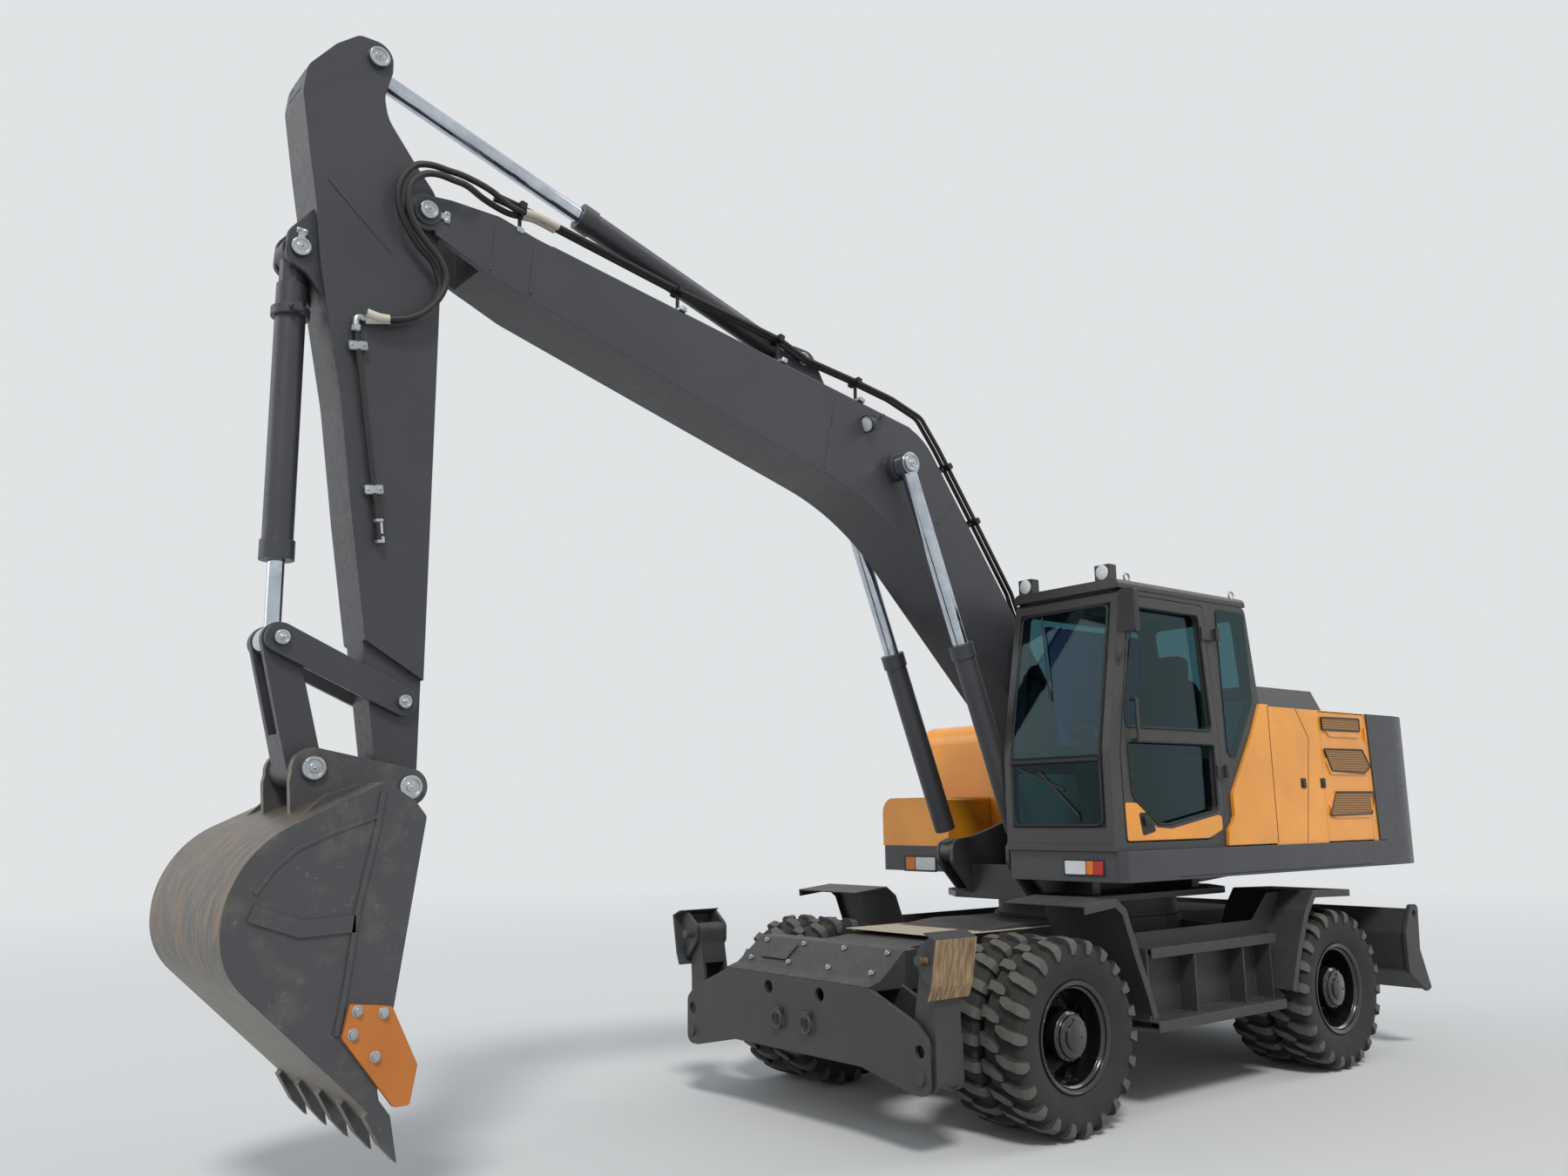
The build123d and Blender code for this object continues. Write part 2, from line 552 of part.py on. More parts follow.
def outrigger_leg():
    """The left leg, raised: a channel open towards the frame, hung on a pin stub in each cheek."""
    y, z = LEG_PIVOT
    foot_y, foot_z = LEG_FOOT_PIN
    outline = [
        (y - 78, z - 70, 60), (y - 78, z + 260, 200), (foot_y - 66, foot_z - 60, 100), (foot_y - 66, foot_z + 62, 55),
        (foot_y + 60, foot_z + 62, 55), (y + 75, z + 300, 300), (y + 75, z - 70, 60),
    ]
    leg = prism_x(outline, *LEG_X)
    inner = (LEG_X[0] + LEG_CHEEK, LEG_X[1] - LEG_CHEEK)
    leg -= block(inner, (y - 100, y + 55), (z - 90, foot_z - 180))
    leg -= block(inner, (y - 100, y + 64), (z - 90, z + 20))
    leg -= disc_x((y, z), LEG_PIN_R + PIN_GAP, LEG_X[0] - 1, LEG_X[1] + 1)
    leg -= disc_x((foot_y, foot_z), 26 + PIN_GAP, LEG_X[0] - 1, LEG_X[1] + 1)
    return leg


def outrigger_foot():
    """The left foot: a sole with turned-up ends between two brackets, its pin through the leg's end."""
    y, z = LEG_FOOT_PIN
    outer = (LEG_X[0] - 35, LEG_X[1] + 80)
    sole = [(y + 57, z + 143), (y + 137, z + 110), (y + 94, z - 123), (y + 66, z - 190)]
    normal_in = [(a - 13, b - 3) for a, b in sole]
    foot = prism_x([(a, b) for a, b in sole] + normal_in[::-1], *outer)
    cheek = [(y - 52, z - 50, 45), (y - 52, z + 52, 45), (y + 60, z + 132), (y + 128, z + 108), (y + 86, z - 122), (y + 46, z - 150)]
    for x_low in (LEG_X[0] - RUN - 22, LEG_X[1] + RUN):
        foot += prism_x(cheek, x_low, x_low + 22)
    return foot + disc_x(LEG_FOOT_PIN, 26, outer[0], outer[1])


def leg_ram():
    """The left leg's cylinder, from the frame's middle to the leg."""
    length = span(LEG_RAM_FOOT, LEG_RAM_PIN)
    barrel, rod = ram(length, 600, 330, 52, 28, (48, 40, 24), (42, 32, 0))
    angle = degrees(atan2(LEG_RAM_PIN[1] - LEG_RAM_FOOT[1], LEG_RAM_PIN[0] - LEG_RAM_FOOT[0]))
    middle_x = sum(LEG_X) / 2
    place = Location((middle_x, *LEG_RAM_FOOT)) * Location((0, 0, 0), (0, 0, 90)) * Location((0, 0, 0), (0, -angle, 0))
    return [part.moved(place) for part in (barrel, rod)]


nodes["outrigger_frame"] = outrigger_frame()
nodes["leg_left"] = outrigger_leg()
nodes["foot_left"] = outrigger_foot()
nodes["leg_barrel_left"], nodes["leg_rod_left"] = leg_ram()
for name in ("leg", "foot", "leg_barrel", "leg_rod"):
    nodes[f"{name}_right"] = flip(nodes[f"{name}_left"])


# ---------------------------------------------------------------- dozer blade
def blade():
    board = prism_y([
        (-2195, 989), (-2120, 650, 420), (-2341, 422), (-2300, 410), (-2055, 560, 60), (-2055, 820, 60), (-2150, 989),
    ], -BLADE_HALF, BLADE_HALF)
    end = prism_y([
        (-2260, 1020, 40), (-2150, 1020, 40), (-2040, 830, 40), (-2040, 550, 40), (-2290, 400, 10), (-2352, 420, 10), (-2230, 700),
    ], BLADE_HALF - 28, BLADE_HALF)
    end -= disc_y((-2190, 955), BLADE_EYE_R, BLADE_HALF - 29, BLADE_HALF + 1)
    board = board - block((-2400, -2000), (BLADE_HALF - 28, BLADE_HALF + 1), (380, 1030))
    board = board - block((-2400, -2000), (-BLADE_HALF - 1, -BLADE_HALF + 28), (380, 1030))
    arm = prism_y([
        (-2060, 790), (-2060, 570), (BLADE_PIVOT[0] - 60, BLADE_PIVOT[1] - 75, 60),
        (BLADE_PIVOT[0] + 75, BLADE_PIVOT[1] - 75, 60), (BLADE_PIVOT[0] + 75, BLADE_PIVOT[1] + 75, 60),
        (BLADE_PIVOT[0] - 60, BLADE_PIVOT[1] + 75, 60),
    ], 340, 400)
    shapes = [end, flip(end), arm, flip(arm)]
    eye_x, eye_z = BLADE_RAM_EYE
    ear_outline = [(-2060, 560), (eye_x + 50, eye_z - 50, 40), (eye_x + 50, eye_z + 50, 40), (-2060, 730)]
    for offset in (-66, 44):
        ear = prism_y(ear_outline, BLADE_RAM_Y + offset, BLADE_RAM_Y + offset + 22)
        shapes += [ear, flip(ear)]
    whole = board.fuse(*shapes)
    for sign in (-1, 1):
        whole -= disc_y(BLADE_PIVOT, 30 + PIN_GAP, *sorted((sign * 335, sign * 405)))
    return whole


def blade_rams():
    length = span(BLADE_RAM_FOOT, BLADE_RAM_EYE)
    parts = ram(length, 322, 125, 42, 26, (46, 38, 24), (40, 34, 0))
    left = placed_ram(parts, BLADE_RAM_FOOT, BLADE_RAM_EYE, BLADE_RAM_Y)
    return [Compound(children=[part, flip(part)]) for part in left]


nodes["blade"] = blade()
nodes["blade_barrels"], nodes["blade_rods"] = blade_rams()


# ---------------------------------------------------------------- upper structure


def upper_frame():
    bottom = prism_z([
        (-900, -400), (-680, -700, 200), (680, -700, 200), (900, -400), (900, 400), (680, 700, 200), (-680, 700, 200),
        (-900, 400),
    ], SLEW_TOP_Z + RUN, SLEW_TOP_Z + RUN + 40)
    foot_x, foot_z = BOOM_FOOT
    ram_x, ram_z = BOOM_RAM_FOOT
    bracket = prism_y([
        (-900, 1190), (REAR_DECK_X, 1260), (REAR_DECK_X, 1400), (-900, 1400), (-600, 1500, 100), (foot_x - 120, foot_z + 105, 100),
        (foot_x + 120, foot_z + 105, 100), (foot_x + 210, 1700, 80), (880, ram_z + 100, 60), (ram_x + 75, ram_z + 75, 70),
        (ram_x + 75, ram_z - 75, 70), (900, 1190),
    ], *BRACKET_Y)
    ear = prism_y([
        (700, 1210), (900, 1210), (ram_x + 72, ram_z - 72, 68), (ram_x + 72, ram_z + 72, 68), (ram_x - 72, ram_z + 72, 68),
        (700, 1400),
    ], BOOM_RAM_Y + 51, BOOM_RAM_Y + 75)
    shapes = [bracket, flip(bracket), ear, flip(ear)]
    front = block((860, 890), (-BRACKET_Y[0], BRACKET_Y[0]), (1190, 1380))
    rear_tie = block((-900, -870), (-BRACKET_Y[0], BRACKET_Y[0]), (1190, 1330))
    shapes += [front, rear_tie]
    for side, front_x in ((1, CAB_X[1] - 22), (-1, RIGHT_DECK_X)):
        outer, inner = side * (UPPER_HALF + 15), side * DECK_INNER_Y
        outline = [(REAR_DECK_X, inner), (front_x, inner), (front_x, outer, 60), (REAR_DECK_X, outer)]
        hollow = [
            (REAR_DECK_X + 10, inner + side * 10), (front_x - 10, inner + side * 10), (front_x - 10, outer - side * 10, 50),
            (REAR_DECK_X + 10, outer - side * 10),
        ]
        deck = prism_z(outline, SKIRT_Z, DECK_Z) - prism_z(hollow, SKIRT_Z - 1, DECK_Z - 12)
        shapes.append(deck)
        for x in (-1500, -500, 600):
            shapes.append(block((x - 40, x + 40), sorted((side * BRACKET_Y[1] - side * 5, outer - side * 9)), (SKIRT_Z + 10, DECK_Z - 11)))
            shapes.append(block((x - 40, x + 40), sorted((side * BRACKET_Y[1] - side * 5, side * 560)), (1194 if abs(x) < 900 else 1262, SKIRT_Z + 11)))
    frame = bottom.fuse(*shapes)
    frame += disc_y(BOOM_FOOT, 42, -BRACKET_Y[1] - 12, BRACKET_Y[1] + 12)
    for side in (-1, 1):
        frame += disc_y(BOOM_RAM_FOOT, 36, *sorted((side * BRACKET_Y[0], side * (BOOM_RAM_Y + 80))))
    return frame


def counterweight():
    side = prism_y([
        (REAR_DECK_X - 4, SKIRT_Z), (-2660, SKIRT_Z, 50), (UPPER_REAR_X, 1480, 120), (UPPER_REAR_X, 2240, 160),
        (-2600, HOOD_Z, 80), (PANEL_X[1] - 4, HOOD_Z), (PANEL_X[1] - 4 - 45, DECK_Z + 4), (REAR_DECK_X - 4, DECK_Z + 4),
    ], -UPPER_HALF - 10, UPPER_HALF + 10)
    plan = prism_z([
        (PANEL_X[1], -UPPER_HALF - 10), (UPPER_REAR_X + 40, -UPPER_HALF - 10, 560), (UPPER_REAR_X, 0, 3000),
        (UPPER_REAR_X + 40, UPPER_HALF + 10, 560), (PANEL_X[1], UPPER_HALF + 10),
    ], SKIRT_Z, HOOD_Z)
    weight = side & plan
    weight -= block((REAR_DECK_X - 3, PANEL_X[1] + 1), (-1150, 1150), (SKIRT_Z - 1, HOOD_Z - 60))
    return weight + block((-2270, -1860), (-700, 700), (HOOD_Z - 10, HOOD_Z + 45))


def engine():
    return block((-1640, -980), (-600, 600), (DECK_Z + 6, 2260))


def side_panels():
    """The fixed sheet panels between cab and counterweight, on both sides, and the fixed strip of the top."""
    front_x, rear_x = PANEL_X
    outer = UPPER_HALF
    left = block((DOOR_X[0] + 3, front_x), (outer - PANEL, outer), (DECK_Z, HOOD_Z))
    rear_post = prism_y([
        (DOOR_X[1] - 3, DECK_Z), (-1812, DECK_Z), (rear_x - 2, HOOD_Z), (DOOR_X[1] - 3, HOOD_Z),
    ], outer - PANEL, outer)
    top_rail = block((rear_x, front_x), (outer - 200, outer), (HOOD_Z - PANEL, HOOD_Z))
    bulkhead = block((front_x - PANEL, front_x), (DECK_INNER_Y, outer), (DECK_Z, HOOD_Z))
    shapes = [left, rear_post, top_rail, bulkhead]
    shapes += [flip(shape) for shape in shapes]
    cross = block((front_x - 300, front_x), (-outer, outer), (HOOD_Z - PANEL, HOOD_Z))
    middle = block((front_x - 300 - PANEL, front_x - 300), (-outer, outer), (DECK_Z + 20, HOOD_Z))
    return shapes[0].fuse(*shapes[1:], cross, middle)


def service_door():
    """The left louvred door, hinged along its rear edge."""
    panel = block((DOOR_X[1], DOOR_X[0]), (UPPER_HALF - PANEL, UPPER_HALF), (DECK_Z + 8, HOOD_Z - PANEL - 6))
    fold = block((DOOR_X[0] - 25, DOOR_X[0]), (UPPER_HALF - 22, UPPER_HALF), (DECK_Z + 8, HOOD_Z - PANEL - 6))
    for x_span, z_span in LOUVRES:
        x_low, x_high = x_span
        z_low, z_high = z_span
        panel += prism_y([
            (x_low, z_low, 25), (x_high - 60, z_low, 25), (x_high, (z_low + z_high) / 2, 25), (x_high - 60, z_high, 25),
            (x_low, z_high, 25),
        ], UPPER_HALF - 1, UPPER_HALF + 8)
    x, y = SERVICE_AXIS
    hinge = [bar((x, y, z - 45), (x, y, z + 45), 9) for z in (1750, 2250)]
    return panel.fuse(fold, *hinge)


def hood():
    """The raised engine hood, open below, hinged along its rear edge."""
    lid = block(HOOD_X, (-HOOD_Y, HOOD_Y), (HOOD_Z + 6, HOOD_Z + 12))
    middle_x = (HOOD_X[0] + HOOD_X[1] - 20) / 2
    long_x, wide_y = HOOD_X[1] - HOOD_X[0] - 80, 2 * HOOD_Y - 100
    low = Rectangle(long_x, wide_y).face().moved(Location((middle_x, 0, HOOD_Z + 12)))
    high = Rectangle(long_x - 100, wide_y - 120).face().moved(Location((middle_x, 0, HOOD_Z + 190)))
    raised = Solid.make_loft([low.outer_wire(), high.outer_wire()], ruled=True)
    low_in = Rectangle(long_x - 20, wide_y - 20).face().moved(Location((middle_x, 0, HOOD_Z + 5)))
    high_in = Rectangle(long_x - 120, wide_y - 140).face().moved(Location((middle_x, 0, HOOD_Z + 182)))
    lid = lid + raised - Solid.make_loft([low_in.outer_wire(), high_in.outer_wire()], ruled=True)
    x, z = HOOD_AXIS
    return lid.fuse(*[disc_y((x, z), 10, y - 60, y + 60) for y in (-700, 700)])


def fuel_tank():
    return prism_y([
        (TANK_X[0], DECK_Z), (TANK_X[1], DECK_Z), (TANK_X[1], HOOD_Z - 20, 140), (TANK_X[0], HOOD_Z - 20, 20),
    ], -UPPER_HALF, -DECK_INNER_Y - 20)


def toolbox():
    return prism_x([
        (-UPPER_HALF, DECK_Z), (-UPPER_HALF, 1835, 110), (-560, 1835, 30), (-560, DECK_Z),
    ], TANK_X[1] + 8, RIGHT_DECK_X - 8)


nodes["upper_frame"] = upper_frame()
nodes["counterweight"] = counterweight()
nodes["engine"] = engine()
nodes["side_panels"] = side_panels()
nodes["service_door_left"] = service_door()
nodes["service_door_right"] = flip(nodes["service_door_left"])
nodes["hood"] = hood()
nodes["fuel_tank"] = fuel_tank()
nodes["toolbox"] = toolbox()


# ---------------------------------------------------------------- cab
CAB_SIDE = [
    (CAB_X[0], DECK_Z + 42), (CAB_X[1], DECK_Z + 42), (CAB_X[1], 2080, 300), (CAB_X[1] - CAB_LEAN, CAB_TOP_Z - 60, 60),
    (-300, CAB_TOP_Z - 60, 60), (CAB_X[0], 2420, 200),
]
DOOR_SIDE = [
    (1140, 1545, 30), (1150, 2060, 250), (975, 3020, 40), (200, 3020, 40), (120, 2100), (120, 1660, 60), (300, 1545, 60),
]


def inset(corners, gap):
    """The same outline drawn in by about gap on every side, towards the middle of its box."""
    middle_x = (min(c[0] for c in corners) + max(c[0] for c in corners)) / 2
    middle_z = (min(c[1] for c in corners) + max(c[1] for c in corners)) / 2
    drawn = []
    for corner in corners:
        x = corner[0] + (gap if corner[0] < middle_x else -gap)
        z = corner[1] + (gap if corner[1] < middle_z else -gap)
        drawn.append((x, z, *corner[2:]))
    return drawn


SIDE_WINDOW = [(-262, 3000, 30), (40, 3000, 30), (20, 1930, 60), (-290, 2440, 60)]
DOOR_WINDOWS = [
    [(1080, 2215, 25), (1090, 2300), (945, 2955, 40), (260, 2955, 40), (195, 2215, 40)],
    [(1065, 1800, 120), (1085, 2130, 25), (185, 2130, 25), (185, 1720, 40), (700, 1640, 60), (820, 1640, 60)],
]
FRONT_WINDOW = [(475, 1640, 50), (1145, 1640, 50), (1145, 2960, 50), (475, 2960, 50)]
RIGHT_WINDOW = [(-250, 1980, 60), (1080, 1980, 60), (1110, 2200), (975, 2980, 50), (-250, 2980, 60)]
REAR_WINDOW = [(500, 2460, 40), (1120, 2460, 40), (1120, 2980, 40), (500, 2980, 40)]


def cab_frame():
    y_low, y_high = CAB_Y
    inner = inset(CAB_SIDE, CAB_WALL)
    inner[0], inner[1] = (inner[0][0], DECK_Z), (inner[1][0], DECK_Z)
    inner[3], inner[4] = (inner[3][0], CAB_TOP_Z), (inner[4][0], CAB_TOP_Z)
    shell = prism_y(CAB_SIDE, y_low, y_high) - prism_y(inner, y_low + CAB_WALL, y_high - CAB_WALL)
    shell -= prism_y([(x, z, *rest) for x, z, *rest in inset(DOOR_SIDE, -6)], y_high - CAB_WALL - 1, y_high + 1)
    shell -= prism_y(SIDE_WINDOW, y_high - CAB_WALL - 1, y_high + 1)
    shell -= prism_y(RIGHT_WINDOW, y_low - 1, y_low + CAB_WALL + 1)
    shell -= prism_x(FRONT_WINDOW, 900, CAB_X[1] + 1)
    shell -= prism_x(REAR_WINDOW, CAB_X[0] - 1, 0)
    arm = faceted((CAB_X[1] - 135, CAB_Y[1] - 12, 2560), (1080, 1290, 2776), 9, sides=6)
    stay = faceted((1080, 1290, 2770), (1080, 1290, 2800), 9, sides=6)
    mirror = block((1060, 1100), (1240, 1340), (2776, 3036))
    return shell.fuse(arm, stay, mirror)


def cab_glass():
    y_low, y_high = CAB_Y
    quarter = prism_y(inset(SIDE_WINDOW, -14), y_high, y_high + GLASS)
    right = prism_y(inset(RIGHT_WINDOW, -14), y_low - GLASS, y_low)
    outer = [(c[0] + GLASS, *c[1:]) for c in CAB_SIDE]
    strip = prism_y(outer, FRONT_WINDOW[0][0] - 14, FRONT_WINDOW[1][0] + 14) - prism_y(CAB_SIDE, 0, 2000)
    front = strip & block((600, 1400), (0, 2000), (FRONT_WINDOW[0][1] - 14, FRONT_WINDOW[2][1] + 14))
    outer = [(c[0] - GLASS, *c[1:]) for c in CAB_SIDE]
    strip = prism_y(outer, REAR_WINDOW[0][0] - 14, REAR_WINDOW[1][0] + 14) - prism_y(CAB_SIDE, 0, 2000)
    rear = strip & block((-600, -100), (0, 2000), (REAR_WINDOW[0][1] - 14, REAR_WINDOW[2][1] + 14))
    return Compound(children=[quarter, right, front, rear])


def cab_roof():
    roof = prism_x([
        (CAB_Y[0] - 4, CAB_TOP_Z - 60), (CAB_Y[1] + 4, CAB_TOP_Z - 60), (CAB_Y[1] + 4, CAB_TOP_Z, 40),
        (CAB_Y[0] - 4, CAB_TOP_Z, 40),
    ], -305, CAB_X[1] - CAB_LEAN + 15)
    lamps = []
    for y in (CAB_Y[0] + 90, CAB_Y[1] - 110):
        lamps.append(block((CAB_X[1] - CAB_LEAN - 60, CAB_X[1] - CAB_LEAN + 10), (y - 55, y + 55), (CAB_TOP_Z - 2, CAB_TOP_Z + 95)))
    return roof.fuse(*lamps)


def cab_floor():
    return block(CAB_X, CAB_Y, (DECK_Z, DECK_Z + 42))


def cab_door():
    y_high = CAB_Y[1]
    door = prism_y(DOOR_SIDE, y_high + 2 - DOOR_THICK, y_high + 2)
    for window in DOOR_WINDOWS:
        door -= prism_y(window, y_high + 1 - DOOR_THICK, y_high + 3)
    x, y = DOOR_AXIS
    for z, end in ((1960, 180), (2840, 245)):
        strap = block((x, end), (y_high + 8, y_high + 18), (z - 40, z + 40))
        pad = block((end - 55, end), (y_high - 1, y_high + 9), (z - 40, z + 40))
        knuckle_low = Plane(origin=(x, y, z - 40))
        door = door.fuse(strap, pad, block((x - 10, x + 14), (y_high + 8, y), (z - 40, z + 40)))
        door += Solid.make_cylinder(18, 80, knuckle_low)
    grip = bar((1020, y_high + 42, 2140), (1020, y_high + 42, 2380), 11)
    for z in (2140, 2380):
        grip += bar((1020, y_high, z), (1020, y_high + 42, z), 11)
    return door + grip


def door_glass():
    inner_y = CAB_Y[1] - DOOR_THICK + 2
    return Compound(children=[prism_y(inset(window, -12), inner_y - GLASS, inner_y) for window in DOOR_WINDOWS])


def seat():
    y = sum(CAB_Y) / 2
    base = block((60, 420), (y - 170, y + 170), (DECK_Z + 42, 1840))
    cushion = prism_y([(20, 1840), (520, 1840, 40), (520, 1960, 50), (20, 1960, 20)], y - 250, y + 250)
    back = prism_y([(20, 1880), (150, 1940), (60, 2560, 50), (-70, 2560, 50), (-20, 1900)], y - 240, y + 240)
    head = prism_y([(-55, 2555), (45, 2555), (30, 2740, 40), (-75, 2740, 40)], y - 130, y + 130)
    return base.fuse(cushion, back, head)


def console():
    y = sum(CAB_Y) / 2
    column = prism_y([(900, DECK_Z + 42), (1010, DECK_Z + 42), (900, 2120), (830, 2090)], y - 60, y + 60)
    tilt = Plane(origin=(800, y, 2180), z_dir=(-0.45, 0, 0.9))
    ring = Solid.make_cylinder(200, 26, tilt) - Solid.make_cylinder(170, 60, tilt)
    spoke = Solid.make_box(350, 44, 20, Plane(origin=tilt.from_local_coords((-175, -22, 3)), x_dir=tilt.x_dir, z_dir=tilt.z_dir))
    hub = bar((800, y, 2180), (840, y, 2100), 40)
    shapes = [column.fuse(hub, spoke, ring)]
    for side in (-1, 1):
        middle = y + side * 302
        box = prism_y([(60, DECK_Z + 42), (560, DECK_Z + 42), (640, 2060, 60), (60, 2040, 30)], middle - 44, middle + 44)
        lever = bar((540, middle, 2000), (580, middle, 2220), 20)
        shapes.append(box + lever)
    return Compound(children=shapes)


nodes["cab_frame"] = cab_frame()
nodes["cab_roof"] = cab_roof()
nodes["cab_floor"] = cab_floor()
nodes["cab_glass"] = cab_glass()
nodes["cab_door"] = cab_door()
nodes["door_glass"] = door_glass()
nodes["seat"] = seat()
nodes["console"] = console()


# ---------------------------------------------------------------- boom, arm and bucket
BOOM_TOP = [(70, 1945), (1690, 4165, 400), (4498, 4714, 300), (4700, 4786, 150), (4960, 4794, 60), (5060, 4786)]
BOOM_BELLY = [(5040, 4590), (4742, 4454, 200), (4520, 4371, 200), (2086, 3629, 1700), (262, 1800)]
ARM_SIDE = [
    (5276, 5400, 50), (5276, 5541, 90), (5450, 5541, 60), (5560, 5450, 80), (5690, 5285, 100), (5705, 5150, 150),
    (5655, 4838), (5613, 4603, 900), (5575, 4294, 300), (5450, 3674, 1500), (5368, 3099), (5261, 2429), (5190, 1963),
    (5175, 1890), (4995, 1860), (4994, 1966), (4992, 2385), (4987, 3902), (4986, 4284, 300), (5022, 4811, 150),
    (5142, 4953), (5289, 5146, 200), (5312, 5255, 120),
]
BUCKET_SIDE = [
    (5317, 1882, 10), (5942, 1588, 435), (5942, 1160, 325), (5333, 570, 40), (5262, 476, 8), (5300, 650, 60),
    (5243, 980, 400), (5134, 1735, 30), (5189, 1802, 20),
]
BUCKET_MOUTH = [(5050, 1745), (5180, 1745), (5275, 985), (5332, 655), (5322, 596), (5262, 532), (5050, 532)]
BUCKET_EAR = [
    (5590, 1740), (5602, 1894), (5587, 1965), (5552, 2016), (5495, 2027), (5434, 1982), (5322, 1962), (5184, 1950),
    (5120, 1900), (5160, 1778), (5317, 1850),
]
SIDE_CUTTER = [
    (5433, 997, 15), (5260, 973, 15), (5143, 732, 15), (5171, 578, 15), (5238, 579, 15), (5460, 867, 15),
]


def boom():
    beam = prism_y(BOOM_TOP + BOOM_BELLY, -BOOM_HALF, BOOM_HALF)
    foot_half = BRACKET_Y[0] - 8
    beam = beam.fuse(disc_y(BOOM_FOOT, 115, -foot_half, foot_half), disc_y(BOOM_TIP, 95, -BOOM_HALF, BOOM_HALF))
    tip_x, tip_z = BOOM_TIP
    start_x, end_x = FORK_TAPER_X
    taper = prism_z([
        (start_x, BOOM_HALF), (end_x, BOOM_TIP_HALF), (tip_x + 200, BOOM_TIP_HALF), (tip_x + 200, BOOM_HALF + 50),
        (start_x, BOOM_HALF + 50),
    ], tip_z - 500, tip_z + 300)
    slot_half = ARM_HALF + FORK_GAP
    slot = block((tip_x - FORK_DEPTH, tip_x + 200), (-slot_half, slot_half), (tip_z - 400, tip_z + 300))
    beam = beam - taper - flip(taper) - slot
    foot_x, foot_z = ARM_RAM_FOOT
    ear = prism_y([
        (foot_x - 240, foot_z - 240), (foot_x - 75, foot_z + 60, 80), (foot_x + 80, foot_z + 75, 75),
        (foot_x + 330, foot_z - 130),
    ], 62, 90)
    beam = beam.fuse(ear, flip(ear), disc_y(ARM_RAM_FOOT, PIN_R, -100, 100))
    for side in (-1, 1):
        beam += disc_y(BOOM_RAM_EYE, 88, *sorted((side * (BOOM_HALF - 5), side * (BOOM_RAM_Y - 42 - RUN - 4))))
        beam += disc_y(BOOM_TIP, 70, *sorted((side * (BOOM_TIP_HALF - 5), side * (BOOM_TIP_HALF + 12))))
    beam += disc_y(BOOM_TIP, PIN_R, -BOOM_TIP_HALF - 24, BOOM_TIP_HALF + 24)
    return beam - disc_y(BOOM_FOOT, PIN_R - 3 + PIN_GAP, -foot_half - 1, foot_half + 1)


def arm():
    beam = prism_y(ARM_SIDE, -ARM_HALF, ARM_HALF)
    beam += disc_y(BOOM_TIP, 95, -ARM_HALF, ARM_HALF)
    recess = prism_y([*FOLD, (5400, 1700), (4900, 1700)], ARM_TIP_HALF, ARM_HALF + 1)
    beam = beam - recess - flip(recess)
    tip_half = EAR_Y[0] - 8
    beam += disc_y(BUCKET_PIN, 80, -tip_half, tip_half)
    eye_x, eye_z = ARM_RAM_EYE
    beam -= block((eye_x - 250, eye_x + 500), (-TAIL_SLOT, TAIL_SLOT), (eye_z - 270, eye_z + 200))
    foot_x, foot_z = BUCKET_RAM_FOOT
    ear = prism_y([
        (foot_x - 65, foot_z + 230), (foot_x + 58, foot_z + 75, 60), (foot_x + 66, foot_z - 62, 60),
        (foot_x - 40, foot_z - 120, 40), (foot_x - 125, foot_z - 230), (foot_x - 180, foot_z - 200),
        (foot_x - 120, foot_z + 230),
    ], 72, 100)
    beam = beam.fuse(ear, flip(ear), disc_y(BUCKET_RAM_FOOT, 38, -114, 114))
    beam -= disc_y(BOOM_TIP, PIN_R + PIN_GAP, -ARM_HALF - 1, ARM_HALF + 1)
    beam -= disc_y(BUCKET_PIN, PIN_R + PIN_GAP, -tip_half - 1, tip_half + 1)
    beam -= disc_y(ROCKER_PIN, LINK_PIN_R + PIN_GAP, -ARM_HALF - 1, ARM_HALF + 1)
    for side in (-1, 1):
        beam += disc_y(ARM_RAM_EYE, 55, *sorted((side * TAIL_SLOT, side * (ARM_HALF + 18))))
    return beam


def rockers():
    plate = link_plate(ROCKER_PIN, 66, LINK_PIN, 68, *ROCKER_Y)
    stub = disc_y(LINK_PIN, LINK_PIN_R, LINK_SLOT + 3, ROCKER_Y[1] + 16)
    left = plate + stub
    pin = disc_y(ROCKER_PIN, LINK_PIN_R, -ROCKER_Y[1] - 14, ROCKER_Y[1] + 14)
    return left.fuse(flip(left), pin)


def bucket_link():
    body = link_plate(LINK_PIN, 74, BUCKET_LINK_PIN, 78, -LINK_HALF, LINK_HALF)
    boss_half = EAR_Y[0] - 8
    body += disc_y(BUCKET_LINK_PIN, 78, -boss_half, boss_half)
    run = Vector(*BUCKET_LINK_PIN) - Vector(*LINK_PIN)
    slot_end = Vector(*LINK_PIN) + run * 0.5
    top = Vector(*LINK_PIN) - run * 0.3
    slot = link_plate((top.X, top.Y), 140, (slot_end.X, slot_end.Y), 140, -LINK_SLOT, LINK_SLOT)
    return body - slot - disc_y(LINK_PIN, LINK_PIN_R + PIN_GAP, -LINK_HALF - 1, LINK_HALF + 1)


